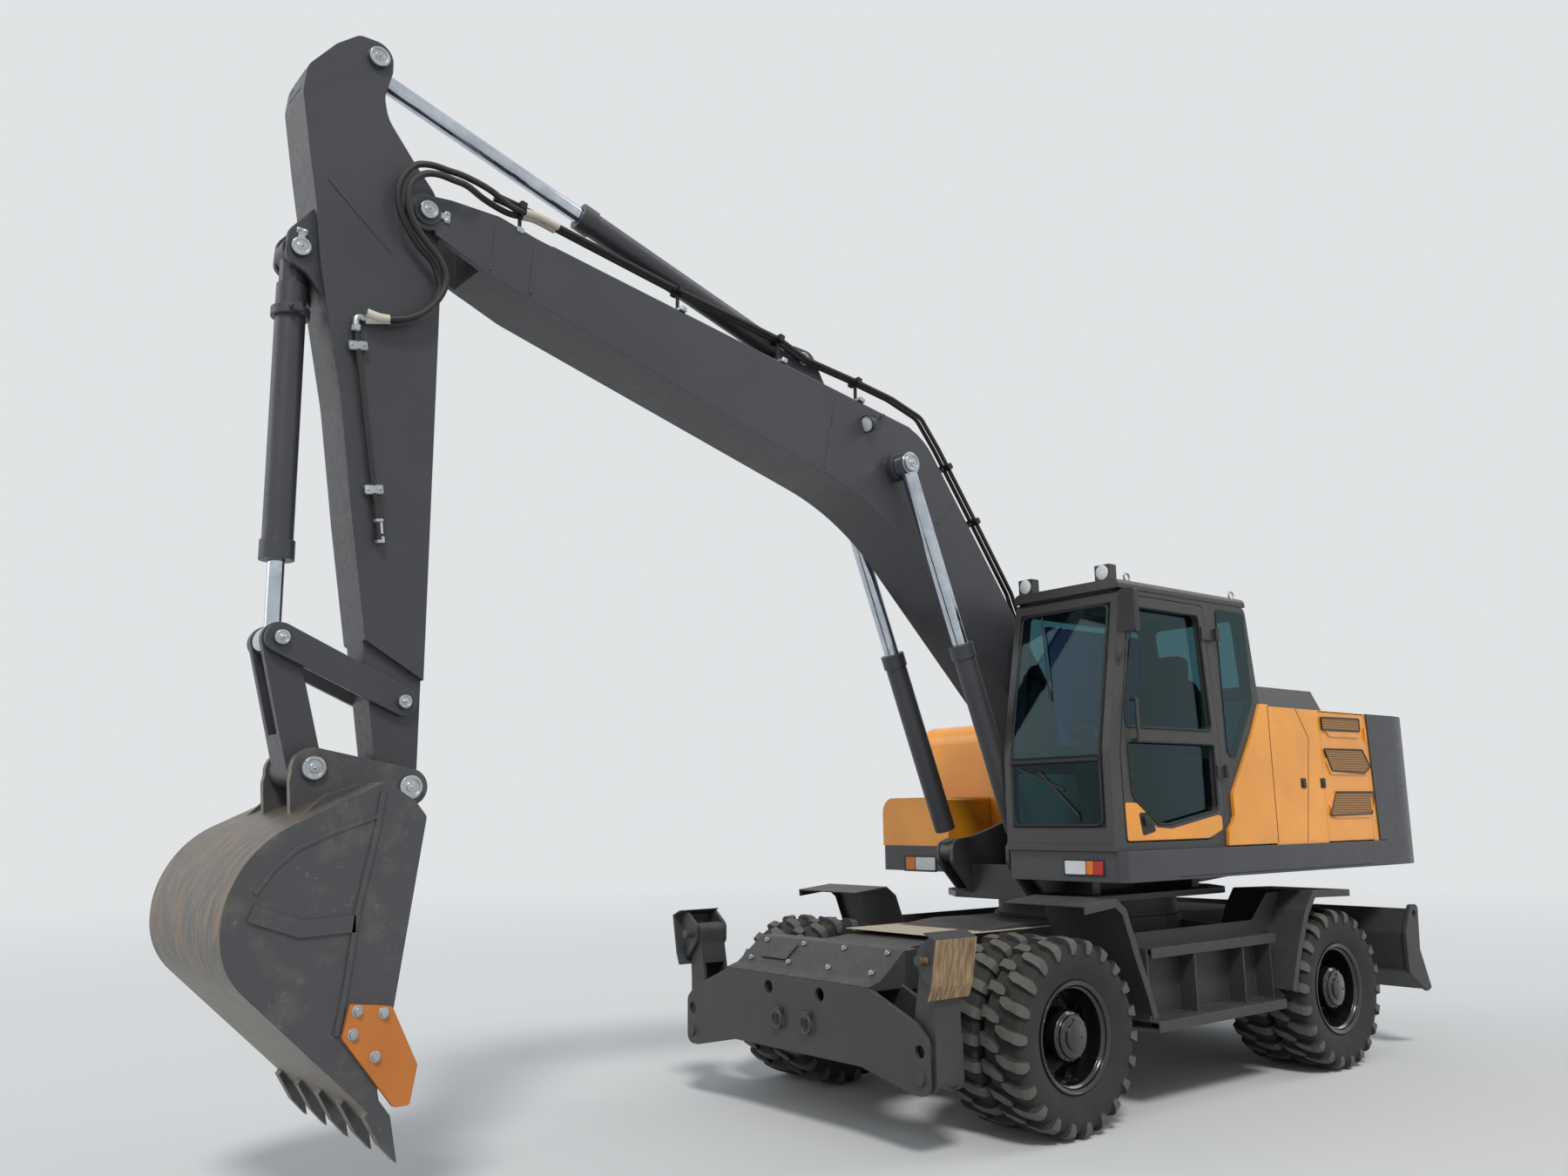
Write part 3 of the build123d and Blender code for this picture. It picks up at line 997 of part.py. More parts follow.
def bucket():
    shell = prism_y(BUCKET_SIDE, -BUCKET_HALF, BUCKET_HALF)
    inner_half = BUCKET_HALF - BUCKET_WALL
    outline = Face(closed_wire(BUCKET_SIDE, lambda p: (p.X, -inner_half, p.Y)))
    cavity = Solid.extrude(offset(outline, amount=-BUCKET_WALL).face(), Vector(0, 2 * inner_half, 0))
    shell = shell - cavity - prism_y(BUCKET_MOUTH, -inner_half, inner_half)
    tip_x, tip_z = BUCKET_EDGE
    tooth = [
        (tip_x, tip_z), (tip_x + 70, tip_z + 75), (tip_x + 140, tip_z + 195), (tip_x + 95, tip_z + 265),
        (tip_x + 35, tip_z + 185),
    ]
    shapes = []
    for index in range(TEETH):
        y = (BUCKET_HALF - TOOTH_WIDTH / 2) * (2 * index / (TEETH - 1) - 1)
        shapes.append(prism_y(tooth, y - TOOTH_WIDTH / 2, y + TOOTH_WIDTH / 2))
    ear = link_plate(BUCKET_PIN, 84, BUCKET_LINK_PIN, 90, *EAR_Y).fuse(prism_y(BUCKET_EAR, *EAR_Y))
    rib = prism_y([(5666, 1690), (5509, 1834), (5425, 1855), (5340, 1880), (5350, 1850), (5655, 1700)], 390, 410)
    shapes += [ear, flip(ear), rib, flip(rib)]
    shapes.append(disc_y(BUCKET_PIN, PIN_R, -EAR_Y[1] - 14, EAR_Y[1] + 14))
    for side in (-1, 1):
        shapes.append(disc_y(BUCKET_LINK_PIN, 56, *sorted((side * EAR_Y[0], side * (EAR_Y[1] + 14)))))
    return shell.fuse(*shapes)


def side_cutters():
    cutter = prism_y(SIDE_CUTTER, BUCKET_HALF, BUCKET_HALF + 22)
    return Compound(children=[cutter, flip(cutter)])


def boom_rams():
    length = span(BOOM_RAM_FOOT, BOOM_RAM_EYE)
    parts = ram(length, 1408, 940, 70, 50, (72, 45, 36), (72, 42, 0))
    left = placed_ram(parts, BOOM_RAM_FOOT, BOOM_RAM_EYE, BOOM_RAM_Y)
    return [Compound(children=[part, flip(part)]) for part in left]


def pipe(points, radius):
    """A six-sided pipe along straight runs with mitred corners."""
    start, after = Vector(*points[0]), Vector(*points[1])
    section = Plane(origin=start, z_dir=after - start) * RegularPolygon(radius, 6)
    return sweep(section, path=Polyline(*points), transition=Transition.RIGHT).solid()


def boom_pipes():
    """Two pipes on each side of the boom's back, held off it by a little more than their own radius."""
    height = PIPE_R + 8
    foot, bend, knee = (Vector(*BOOM_TOP[index][:2]) for index in (0, 1, 2))
    first, second = (bend - foot).normalized(), (knee - bend).normalized()
    up_first, up_second = Vector(-first.Y, first.X), Vector(-second.Y, second.X)
    corner = bend + (up_first + up_second) * (height / (1 + up_first.dot(up_second)))
    turn = acos(first.dot(second))
    cut = (BOOM_TOP[1][2] + height) * (tan(turn / 2) - tan(turn / 4))
    start = foot + first * 930 + up_first * height
    end = knee - second * 120 + up_second * height
    run = [start, corner - first * cut, corner + second * cut, end]
    shapes = [pipe([(p.X, y, p.Y) for p in run], PIPE_R) for y in (105, 150)]
    return Compound(children=shapes + [flip(shape) for shape in shapes])


nodes["boom"] = boom()
nodes["boom_pipes"] = boom_pipes()
nodes["boom_barrels"], nodes["boom_rods"] = boom_rams()
nodes["arm"] = arm()
nodes["arm_barrel"], nodes["arm_rod"] = placed_ram(
    ram(span(ARM_RAM_FOOT, ARM_RAM_EYE), 1625, 1180, 70, 46, (82, 56, PIN_R), (78, 76, 0)), ARM_RAM_FOOT, ARM_RAM_EYE
)
nodes["bucket_barrel"], nodes["bucket_rod"] = placed_ram(
    ram(span(BUCKET_RAM_FOOT, LINK_PIN), 1482, 400, 69, 38, (72, 64, 38), (70, 52, 0)), BUCKET_RAM_FOOT, LINK_PIN
)
nodes["rockers"] = rockers()
nodes["bucket_link"] = bucket_link()
nodes["bucket"] = bucket()
nodes["side_cutters"] = side_cutters()


# ---------------------------------------------------------------- export
os.makedirs("parts", exist_ok=True)
for name, shape in nodes.items():
    moved = shape.moved(Location((-ORIGIN_X, 0, 0)))
    moved.label = name
    export_step(moved, f"parts/{name}.step")
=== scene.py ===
import json
import math

import bmesh
import bpy
from mathutils import Matrix, Vector

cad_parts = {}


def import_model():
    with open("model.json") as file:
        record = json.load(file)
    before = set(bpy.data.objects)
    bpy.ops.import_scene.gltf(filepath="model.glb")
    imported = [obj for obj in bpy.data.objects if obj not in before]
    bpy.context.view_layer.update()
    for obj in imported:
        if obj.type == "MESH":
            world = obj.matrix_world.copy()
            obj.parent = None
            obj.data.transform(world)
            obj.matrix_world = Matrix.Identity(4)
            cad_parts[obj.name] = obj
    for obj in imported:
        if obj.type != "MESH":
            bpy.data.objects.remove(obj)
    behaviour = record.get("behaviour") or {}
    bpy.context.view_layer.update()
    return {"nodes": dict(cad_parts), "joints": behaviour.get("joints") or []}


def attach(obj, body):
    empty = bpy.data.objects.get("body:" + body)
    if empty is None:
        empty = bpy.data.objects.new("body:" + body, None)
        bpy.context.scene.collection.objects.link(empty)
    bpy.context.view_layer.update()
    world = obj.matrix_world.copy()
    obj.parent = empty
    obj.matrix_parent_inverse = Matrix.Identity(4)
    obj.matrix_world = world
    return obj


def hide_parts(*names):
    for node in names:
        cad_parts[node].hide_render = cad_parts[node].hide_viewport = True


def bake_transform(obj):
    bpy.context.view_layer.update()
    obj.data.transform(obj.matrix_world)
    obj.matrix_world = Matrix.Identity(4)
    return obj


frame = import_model()
NODES = frame["nodes"]
# where the slew axis lies in the row frame
SLEW_X = next(joint["pos_m"][0] for joint in frame["joints"] if joint["name"] == "swing")


# ---------- places and directions
def at(x, y, z):
    """A point in millimetres about the slew axis, as the CAD lays the machine out, in the row frame."""
    return Vector((x / 1000 + SLEW_X, y / 1000, z / 1000))


def stand(origin, up, along=None):
    """The matrix that takes +Z to up and +X as near as can be to along, at origin."""
    z = Vector(up).normalized()
    guess = Vector(along) if along is not None else Vector((1, 0, 0))
    if abs(guess.normalized().dot(z)) > 0.98:
        guess = Vector((0, 0, 1))
    y = z.cross(guess).normalized()
    x = y.cross(z)
    matrix = Matrix((x, y, z)).transposed().to_4x4()
    matrix.translation = origin
    return matrix


# ---------- materials
def node_material(name):
    material = bpy.data.materials.new(name)
    material.use_nodes = True
    tree = material.node_tree
    return material, tree, tree.nodes["Principled BSDF"]


def connect(tree, node, **inputs):
    """Sets a shader node's inputs, as values or as sockets to link; an input is named, or numbered as i0."""
    for key, value in inputs.items():
        numbered = key[0] == "i" and key[1:].isdigit()
        socket = node.inputs[int(key[1:]) if numbered else key.replace("_", " ")]
        if isinstance(value, bpy.types.NodeSocket):
            tree.links.new(value, socket)
        else:
            socket.default_value = value


def add(tree, kind, settings=None, **inputs):
    """A shader node with its settings and its inputs."""
    node = tree.nodes.new(kind)
    for key, value in (settings or {}).items():
        setattr(node, key, value)
    connect(tree, node, **inputs)
    return node


def coordinates(tree, stretch=(1, 1, 1)):
    """Object coordinates, stretched."""
    source = tree.nodes.new("ShaderNodeTexCoord")
    return add(tree, "ShaderNodeMapping", Vector=source.outputs["Object"], Scale=stretch).outputs[0]


def speckle(tree, scale, detail=4.0, rough=0.6, stretch=(1, 1, 1)):
    where = coordinates(tree, stretch)
    return add(tree, "ShaderNodeTexNoise", Vector=where, Scale=scale, Detail=detail, Roughness=rough).outputs["Fac"]


def steps(tree, value, low, high, start=0.0, end=1.0):
    """Maps low..high of a value to start..end, clamped."""
    limits = {"From_Min": low, "From_Max": high, "To_Min": start, "To_Max": end}
    return add(tree, "ShaderNodeMapRange", Value=value, **limits).outputs[0]


def mix(tree, factor, first, second):
    """A colour between two, each a socket or linear light."""
    first, second = (value if isinstance(value, bpy.types.NodeSocket) else (*value, 1) for value in (first, second))
    return add(tree, "ShaderNodeMix", {"data_type": "RGBA"}, i0=factor, i6=first, i7=second).outputs[2]


def times(tree, *values, operation="MULTIPLY"):
    result = values[0]
    for value in values[1:]:
        result = add(tree, "ShaderNodeMath", {"operation": operation}, i0=result, i1=value).outputs[0]
    return result


def linear(colour):
    """An sRGB colour in 0..255 as linear light."""
    return tuple(((c / 255 + 0.055) / 1.055) ** 2.4 if c > 10 else c / 255 / 12.92 for c in colour)


def show(tree, output, factor, first, second):
    """Sends a blend of two shader nodes to the tree's output node."""
    blend = add(tree, "ShaderNodeMixShader", i0=factor, i1=first.outputs[0], i2=second.outputs[0])
    connect(tree, tree.nodes[output], Surface=blend.outputs[0])


def normal_axis(tree, axis):
    """One axis of the surface's normal."""
    normal = tree.nodes.new("ShaderNodeNewGeometry").outputs["Normal"]
    return add(tree, "ShaderNodeSeparateXYZ", Vector=normal).outputs[axis]


def bevelled(tree, radius):
    """The normal of a shape whose edges are rounded off by radius in metres."""
    return add(tree, "ShaderNodeBevel", {"samples": 4}, Radius=radius).outputs[0]


def bumped(tree, height, strength, radius=0.0, distance=0.001):
    """A bumped normal, on edges that are rounded off by radius in metres."""
    bump = add(tree, "ShaderNodeBump", Height=height, Strength=strength, Distance=distance)
    if radius:
        connect(tree, bump, Normal=bevelled(tree, radius))
    return bump.outputs[0]


def edge_mask(tree, radius):
    """1 along the shape's edges, 0 on its flats."""
    flat = tree.nodes.new("ShaderNodeNewGeometry").outputs["Normal"]
    dot = add(tree, "ShaderNodeVectorMath", {"operation": "DOT_PRODUCT"}, i0=bevelled(tree, radius), i1=flat)
    return steps(tree, dot.outputs["Value"], 0.97, 0.80)


DUST = linear((146, 134, 116))


def paint(name, colour, rough=0.42, dust=0.25, wear=0.0, bare=(150, 148, 145), coat=0.0, peel=0.02):
    """Sprayed paint: slow colour drift, orange peel, dust that lies on upward faces, and bare worn edges."""
    material, tree, shader = node_material(name)
    base = linear(colour)
    darker = tuple(c * 0.82 for c in base)
    colour_out = mix(tree, steps(tree, speckle(tree, 2.2, 5), 0.35, 0.7), darker, base)
    if dust:
        patches = steps(tree, speckle(tree, 7, 6, 0.7), 0.38, 0.72)
        facing_up = steps(tree, normal_axis(tree, "Z"), 0.35, 0.95)
        layer = times(tree, patches, steps(tree, facing_up, 0, 1, 0.12, 1.0), dust)
        colour_out = mix(tree, layer, colour_out, DUST)
    if wear:
        broken = steps(tree, speckle(tree, 26, 6, 0.75), 0.47, 0.62)
        colour_out = mix(tree, times(tree, edge_mask(tree, 0.007), broken, wear), colour_out, linear(bare))
    rough_out = steps(tree, speckle(tree, 30, 4), 0.3, 0.75, rough - 0.07, rough + 0.1)
    normal = bumped(tree, speckle(tree, 260, 2), peel * 4, 0.006)
    connect(tree, shader, Base_Color=colour_out, Roughness=rough_out, Normal=normal)
    connect(tree, shader, Coat_Weight=coat, Coat_Roughness=0.08)
    return material


def metal(name, colour, rough, bump):
    """Bare metal whose colour and polish drift slowly."""
    material, tree, shader = node_material(name)
    base = linear(colour)
    colour_out = mix(tree, steps(tree, speckle(tree, 9, 6), 0.3, 0.7), tuple(c * 0.7 for c in base), base)
    rough_out = steps(tree, speckle(tree, 22, 5), 0.3, 0.7, rough * 0.7, rough * 1.35)
    normal = bumped(tree, speckle(tree, 120, 4), bump, 0.004)
    connect(tree, shader, Base_Color=colour_out, Roughness=rough_out, Metallic=1.0, Normal=normal)
    return material


def plain(name, colour, rough=0.6, metallic=0.0, grain=400, bump=0.15, variation=0.8):
    """Moulded plastic, rubber or cloth: one colour with a fine grain."""
    material, tree, shader = node_material(name)
    base = linear(colour)
    colour_out = mix(tree, steps(tree, speckle(tree, 12, 4), 0.3, 0.7), tuple(c * variation for c in base), base)
    normal = bumped(tree, speckle(tree, grain, 3), bump)
    connect(tree, shader, Base_Color=colour_out, Roughness=rough, Metallic=metallic, Normal=normal)
    return material


def foot_paint(name, side):
    """Charcoal plates whose outer sole is worn to streaked brown steel."""
    material, tree, shader = node_material(name)
    sole = steps(tree, times(tree, normal_axis(tree, "Y"), side), 0.55, 0.85)
    streaks = speckle(tree, 20, 6, 0.7, (2.6, 1.0, 0.3))
    worn = mix(tree, steps(tree, streaks, 0.35, 0.65), linear((96, 76, 54)), linear((168, 140, 104)))
    colour_out = mix(tree, sole, linear((60, 61, 63)), worn)
    connect(tree, shader, Base_Color=colour_out, Roughness=0.55, Normal=bumped(tree, streaks, 0.3, 0.005))
    return material


def clear_glass():
    """Tinted safety glass, thin: tinted clear with a mirror layer that grows towards grazing."""
    material, tree, _ = node_material("cab_glass")
    clear = add(tree, "ShaderNodeBsdfTransparent", Color=(*linear((176, 200, 204)), 1))
    shine = add(tree, "ShaderNodeBsdfGlossy", Color=(0.55, 0.72, 0.74, 1), Roughness=0.02)
    facing = add(tree, "ShaderNodeLayerWeight", Blend=0.5).outputs["Facing"]
    layer = steps(tree, times(tree, facing, facing, facing), 0, 1, 0.025, 0.5)
    show(tree, "Material Output", layer, clear, shine)
    return material


def hose():
    """Black hose with the fine rings of its spiral guard."""
    material, tree, shader = node_material("hose_rubber")
    waves = add(tree, "ShaderNodeTexWave", Vector=coordinates(tree), Scale=60, Distortion=0.4)
    rings = waves.outputs["Fac"]
    colour_out = mix(tree, rings, linear((20, 20, 21)), linear((38, 38, 39)))
    normal = bumped(tree, rings, 0.5, distance=0.002)
    connect(tree, shader, Base_Color=colour_out, Roughness=0.5, Normal=normal)
    return material


def perforated():
    """A dusty brown punched plate, seen from the side; its rows of round holes are painted near-black, as painted
    shade.
    """
    material, tree, shader = node_material("perforated_plate")
    cells = add(tree, "ShaderNodeTexVoronoi", Vector=coordinates(tree, (1, 0.001, 1)), Scale=62, Randomness=0.0)
    # painted shade: a mask of round holes that are filled with near-black instead of being cut through
    painted_hole_shade = steps(tree, cells.outputs["Distance"], 0.30, 0.36, 1, 0)
    colour_out = mix(tree, painted_hole_shade, linear((166, 122, 74)), linear((30, 22, 16)))
    connect(tree, shader, Base_Color=colour_out, Roughness=0.7)
    return material


def bucket_paint():
    """Charcoal paint on the side plates; elsewhere worn steel with upright streaks of clay and rust."""
    material, tree, shader = node_material("bucket_wear")
    sideways = normal_axis(tree, "Y")
    side = steps(tree, times(tree, sideways, sideways), 0.6, 0.9)
    streaks = speckle(tree, 26, 6, 0.7, (0.6, 3.0, 0.35))
    steel = mix(tree, steps(tree, streaks, 0.35, 0.65), linear((62, 60, 58)), linear((124, 119, 110)))
    clay = steps(tree, speckle(tree, 9, 6, 0.7, (0.6, 2.4, 0.4)), 0.52, 0.64, 0, 0.7)
    rust = steps(tree, speckle(tree, 13, 6, 0.7, (0.6, 2.0, 0.5)), 0.58, 0.68, 0, 0.6)
    steel = mix(tree, rust, mix(tree, clay, steel, linear((142, 112, 70))), linear((112, 62, 44)))
    dusty = steps(tree, speckle(tree, 5, 6, 0.7), 0.5, 0.75, 0, 0.25)
    worn = steps(tree, speckle(tree, 18, 6, 0.75), 0.60, 0.66)
    painted = mix(tree, dusty, linear((66, 67, 70)), DUST)
    painted = mix(tree, times(tree, worn, 0.4), painted, linear((120, 112, 104)))
    connect(
        tree, shader, Base_Color=mix(tree, side, steel, painted), Roughness=steps(tree, side, 0, 1, 0.42, 0.45),
        Metallic=steps(tree, side, 0, 1, 0.55, 0.0), Normal=bumped(tree, streaks, 0.3, 0.005),
    )
    return material


MATERIALS = {
    "charcoal": paint("charcoal_paint", (60, 61, 65), 0.40, dust=0.10, wear=0.25),
    "under": paint("undercarriage_paint", (58, 58, 59), 0.55, dust=0.14, wear=0.35),
    "cab": paint("cab_paint", (58, 57, 57), 0.45, dust=0.10),
    "orange": paint("orange_paint", (244, 158, 38), 0.33, dust=0.04, coat=0.5, peel=0.01),
    "cutter": paint("side_cutter_paint", (196, 116, 44), 0.5, dust=0.10, wear=1.0, bare=(120, 112, 104)),
    "foot_left": foot_paint("foot_paint_left", 1),
    "foot_right": foot_paint("foot_paint_right", -1),
    "black": paint("rim_paint", (16, 16, 17), 0.22, dust=0.05, coat=0.7),
    "hood": paint("hood_paint", (52, 53, 56), 0.35, dust=0.2),
    "rod": metal("rod_chrome", (205, 212, 222), 0.08, bump=0.01),
    "zinc": metal("zinc_plate", (190, 195, 198), 0.34, bump=0.25),
    "casting": plain("axle_casting", (44, 42, 40), 0.6, 0.3, 90, 0.5),
    "rubber": plain("tyre_rubber", (44, 43, 42), 0.82, 0, 60, 0.4, 0.72),
    "beige": plain("dusty_deck", (186, 176, 156), 0.8, 0, 90, 0.3, 0.85),
    "seal": plain("rubber_seal", (18, 18, 19), 0.6, 0, 300, 0.1),
    "plastic": plain("black_plastic", (26, 26, 27), 0.5, 0, 500, 0.3),
    "fabric": plain("seat_fabric", (34, 35, 37), 0.9, 0, 900, 0.6),
    "glass": clear_glass(),
    "tread": plain("tread_rubber", (96, 93, 88), 0.9, 0, 60, 0.4, 0.7),
    "lens_white": plain("clear_lens", (214, 218, 220), 0.12, 0, 200, 0.2, 0.9),
    "lens_amber": plain("amber_lens", (222, 120, 30), 0.15, 0, 200, 0.2, 0.9),
    "lens_red": plain("red_lens", (186, 30, 26), 0.15, 0, 200, 0.2, 0.9),
    "curtain": plain("curtain_cloth", (44, 118, 214), 0.9, 0, 700, 0.3, 0.8),
    "hose": hose(),
    "sleeve": plain("hose_sleeve", (205, 200, 184), 0.55, 0, 200, 0.2, 0.9),
    "mesh": perforated(),
    "bucket": bucket_paint(),
    "interior": plain("interior_panel", (168, 182, 174), 0.6, 0, 300, 0.2),
}


CORNERS = ("front_left", "front_right", "rear_left", "rear_right")
DRESS = {      # material: the CAD nodes that it dresses
    "charcoal": (
        "boom", "boom_pipes", "boom_barrels", "arm", "arm_barrel", "bucket_barrel", "bucket_link", "rockers",
        "counterweight", "upper_frame",
    ),
    "under": (
        "chassis_frame", "slew_ring", "side_steps_left", "side_steps_right", "outrigger_frame", "leg_left", "leg_right",
        "leg_barrel_left", "leg_barrel_right", "blade", "blade_barrels",
    ),
    "cab": ("cab_frame", "cab_roof", "cab_door", "cab_floor"),
    "orange": ("side_panels", "service_door_left", "service_door_right", "fuel_tank", "toolbox"),
    "hood": ("hood",),
    "black": [f"rims_{corner}" for corner in CORNERS],
    "casting": ("front_axle", "rear_axle", "knuckle_left", "knuckle_right", "engine"),
    "bucket": ("bucket",),
    "cutter": ("side_cutters",),
    "foot_left": ("foot_left",),
    "foot_right": ("foot_right",),
    "rod": ("boom_rods", "arm_rod", "bucket_rod", "leg_rod_left", "leg_rod_right", "blade_rods", "steering_rod"),
    "rubber": [f"tyres_{corner}" for corner in CORNERS],
    "glass": ("cab_glass", "door_glass"),
    "fabric": ("seat",),
    "plastic": ("console",),
}
for material_name, node_names in DRESS.items():
    for node_name in node_names:
        mesh = NODES[node_name].data
        mesh.materials.clear()
        mesh.materials.append(MATERIALS[material_name])


# ---------- making pieces
def put(name, data):
    """A new object in the scene."""
    obj = bpy.data.objects.new(name, data)
    bpy.context.scene.collection.objects.link(obj)
    return obj


def piece(name, bm, body, material, crease=32):
    """Turns a bmesh into a finished piece that rides on a body; material may be several names."""
    bmesh.ops.recalc_face_normals(bm, faces=bm.faces)
    for face in bm.faces:
        face.smooth = True
    for edge in bm.edges:
        if len(edge.link_faces) != 2 or edge.calc_face_angle(0) > math.radians(crease):
            edge.smooth = False
    mesh = bpy.data.meshes.new(name)
    bm.to_mesh(mesh)
    bm.free()
    for key in (material,) if isinstance(material, str) else material:
        mesh.materials.append(MATERIALS[key])
    obj = put(name, mesh)
    if body:
        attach(obj, body)
    return obj


def fan(before, here, after, radius, steps):
    """The points of a short curve that rounds off the corner at here."""
    back, ahead = before - here, after - here
    reach = min(radius / math.tan(back.angle(ahead) / 2), back.length * 0.49, ahead.length * 0.49)
    start, end = here + back.normalized() * reach, here + ahead.normalized() * reach
    spread = [step / steps for step in range(steps + 1)]
    return [start * (1 - t) ** 2 + here * (2 * t * (1 - t)) + end * t * t for t in spread]


def rounded(corners):
    """An outline with its corners (a, b) or (a, b, radius) rounded off."""
    places = [Vector(corner[:2]) for corner in corners]
    points = []
    for index, (here, corner) in enumerate(zip(places, corners)):
        if len(corner) < 3 or not corner[2]:
            points.append(here)
        else:
            points += fan(places[index - 1], here, places[(index + 1) % len(places)], corner[2], 5)
    return points


PLANES = {
    "x": lambda a, b, depth: at(depth, a, b),
    "y": lambda a, b, depth: at(a, depth, b),
    "z": lambda a, b, depth: at(a, b, depth),
}


def bridge(bm, loops, material=0, ends=True):
    """Faces between neighbouring closed loops of vertices, and over the first and the last."""
    for first, second in zip(loops, loops[1:]):
        for index in range(len(first)):
            following = (index + 1) % len(first)
            face = bm.faces.new((first[index], first[following], second[following], second[index]))
            face.material_index = material
    for loop in (loops[0], loops[-1]) if ends else ():
        bm.faces.new(loop).material_index = material


def slab(bm, corners, axis, low, high, bevel=0.0):
    """An outline in mm, extruded between low and high along an axis, with its far edges chamfered."""
    place = PLANES[axis]
    outline = rounded(corners)
    middle = sum(outline, Vector((0, 0))) / len(outline)
    rings = [(low, 0.0), (high - math.copysign(bevel, high - low), 0.0)]
    if bevel:
        rings.append((high, bevel))
    loops = []
    for depth, inset in rings:
        loop = []
        for point in outline:
            moved = point + (middle - point).normalized() * inset
            loop.append(bm.verts.new(place(moved.x, moved.y, depth)))
        loops.append(loop)
    bridge(bm, loops)


def around(radius, angle, height):
    """The point at a radius, angle and height about +Z, given in mm."""
    return Vector((radius / 1000 * math.cos(angle), radius / 1000 * math.sin(angle), height / 1000))


def spin(bm, profile, matrix, segments=32, material=0):
    """A lathe of (radius, height) in mm about the matrix's +Z."""
    loops = []
    for radius, height in profile:
        if radius < 0.01:
            loops.append([bm.verts.new(matrix @ around(0, 0, height))])
            continue
        angles = [math.tau * step / segments for step in range(segments)]
        loops.append([bm.verts.new(matrix @ around(radius, angle, height)) for angle in angles])
    for first, second in zip(loops, loops[1:]):
        for step in range(segments):
            following = step + 1
            corners = [
                first[step % len(first)], first[following % len(first)],
                second[following % len(second)], second[step % len(second)],
            ]
            unique = list(dict.fromkeys(corners))
            if len(unique) > 2:
                bm.faces.new(unique).material_index = material


def bolt(bm, place, size=11.0, height=8.0, washer=True):
    """A hexagonal bolt head with a chamfered top, on a washer; place is a matrix with +Z outwards."""
    if washer:
        spin(bm, [(size * 1.35, -1), (size * 1.35, 2), (size * 1.2, 2.6), (0, 2.6)], place, 18)
    lift = 2.6 if washer else -1
    spin(bm, [(size, lift), (size, lift + height - 1.5), (size * 0.86, lift + height), (0, lift + height)], place, 6)


def tube(bm, path, radius, sides=12, ends=True, material=0):
    """A round tube along points in metres; radius in mm, or one for each point."""
    radii = radius if isinstance(radius, (list, tuple)) else [radius] * len(path)
    frame_x = None
    loops = []
    for index, point in enumerate(path):
        ahead = path[min(index + 1, len(path) - 1)] - point
        behind = point - path[max(index - 1, 0)]
        direction = (ahead.normalized() + behind.normalized()).normalized()
        if frame_x is None:
            frame_x = direction.orthogonal().normalized()
        frame_x = (frame_x - direction * frame_x.dot(direction)).normalized()
        frame_y = direction.cross(frame_x)
        loop = []
        for side in range(sides):
            angle = math.tau * side / sides
            outwards = frame_x * math.cos(angle) + frame_y * math.sin(angle)
            loop.append(bm.verts.new(point + outwards * (radii[index] / 1000)))
        loops.append(loop)
    bridge(bm, loops, material, ends)


def bent(points, radius):
    """A path in metres through points in mm, its corners rounded by radius in mm."""
    points = [at(*point) for point in points]
    path = [points[0]]
    for before, here, after in zip(points, points[1:], points[2:]):
        path += fan(before, here, after, radius / 1000, 6)
    return [*path, points[-1]]


def curve_points(points, count):
    """Evenly spread points on a smooth curve through points in mm."""
    path = [at(*point) for point in points]
    path = [path[0] * 2 - path[1], *path, path[-1] * 2 - path[-2]]
    made = []
    spans = len(path) - 3
    for step in range(count + 1):
        place = step / count * spans
        index = min(int(place), spans - 1)
        t = place - index
        a, b, c, d = path[index:index + 4]
        square, cube = 2 * a - 5 * b + 4 * c - d, 3 * b - a - 3 * c + d
        made.append(0.5 * (2 * b + (c - a) * t + square * t * t + cube * t ** 3))
    return made


# ---------- tyres and rims
TYRE_PITCHES = 22
WHEEL_Z, OUTER_Y, INNER_Y = 522, 1100, 790
CARCASS = [      # radius, and half the width there
    (262, 82), (290, 94), (300, 104), (312, 108), (345, 121), (385, 130), (425, 134), (455, 131), (474, 124),
    (486, 108), (490, 60), (491, 0),
]
LUG = [        # across the tread: width from the middle, top radius, half length, lean along the tread
    (-10, 519, 17, -17), (22, 521, 30, -6), (46, 521, 33, 2), (78, 519, 29, 12), (116, 513, 33, 21), (139, 496, 34, 26),
    (146, 468, 31, 29), (141, 436, 20, 31),
]


def tyre_lug(bm, matrix, angle, side):
    """One lug of the tread, drafted from its foot in the carcass to its top."""
    loops = []
    for width, top, half, lean in LUG:
        under = 478 if width < 130 else top - 26
        row = []
        for radius, part in ((under, -1.18), (top, -0.86), (top, 0.86), (under, 1.18)):
            turn = angle + side * (lean + half * part) / 500
            y = side * (width if radius == top or width < 130 else width - 24)
            row.append(bm.verts.new(matrix @ around(radius, turn, y)))
        loops.append(row)
    for first, second in zip(loops, loops[1:]):
        for k in range(3):
            bm.faces.new((first[k], first[k + 1], second[k + 1], second[k])).material_index = int(k == 1)
    bm.faces.new(loops[0])
    bm.faces.new(loops[-1])


RIM_OUTER = [
    (0, -96), (60, -96), (150, -98), (172, -104), (228, -112), (236, -100), (238, -40), (244, 40), (252, 78), (262, 84),
    (268, 92), (270, 104), (280, 108), (286, 112), (293, 112), (296, 106), (296, 98), (286, 94), (268, 80), (256, 70),
]
HUB = [
    (0, 112), (66, 112), (74, 108), (76, 98), (104, 96), (112, 92), (116, 80), (126, 74), (133, 66), (135, 50),
    (135, -60), (150, -70), (168, -74), (170, -100),
]
RIM_INNER = [
    (256, 70), (268, 80), (286, 94), (296, 98), (296, 106), (286, 112), (270, 108), (244, 60), (238, -40), (244, -60),
    (262, -84), (286, -94), (296, -98), (296, -106), (286, -112), (268, -108), (240, -90), (236, 40),
]


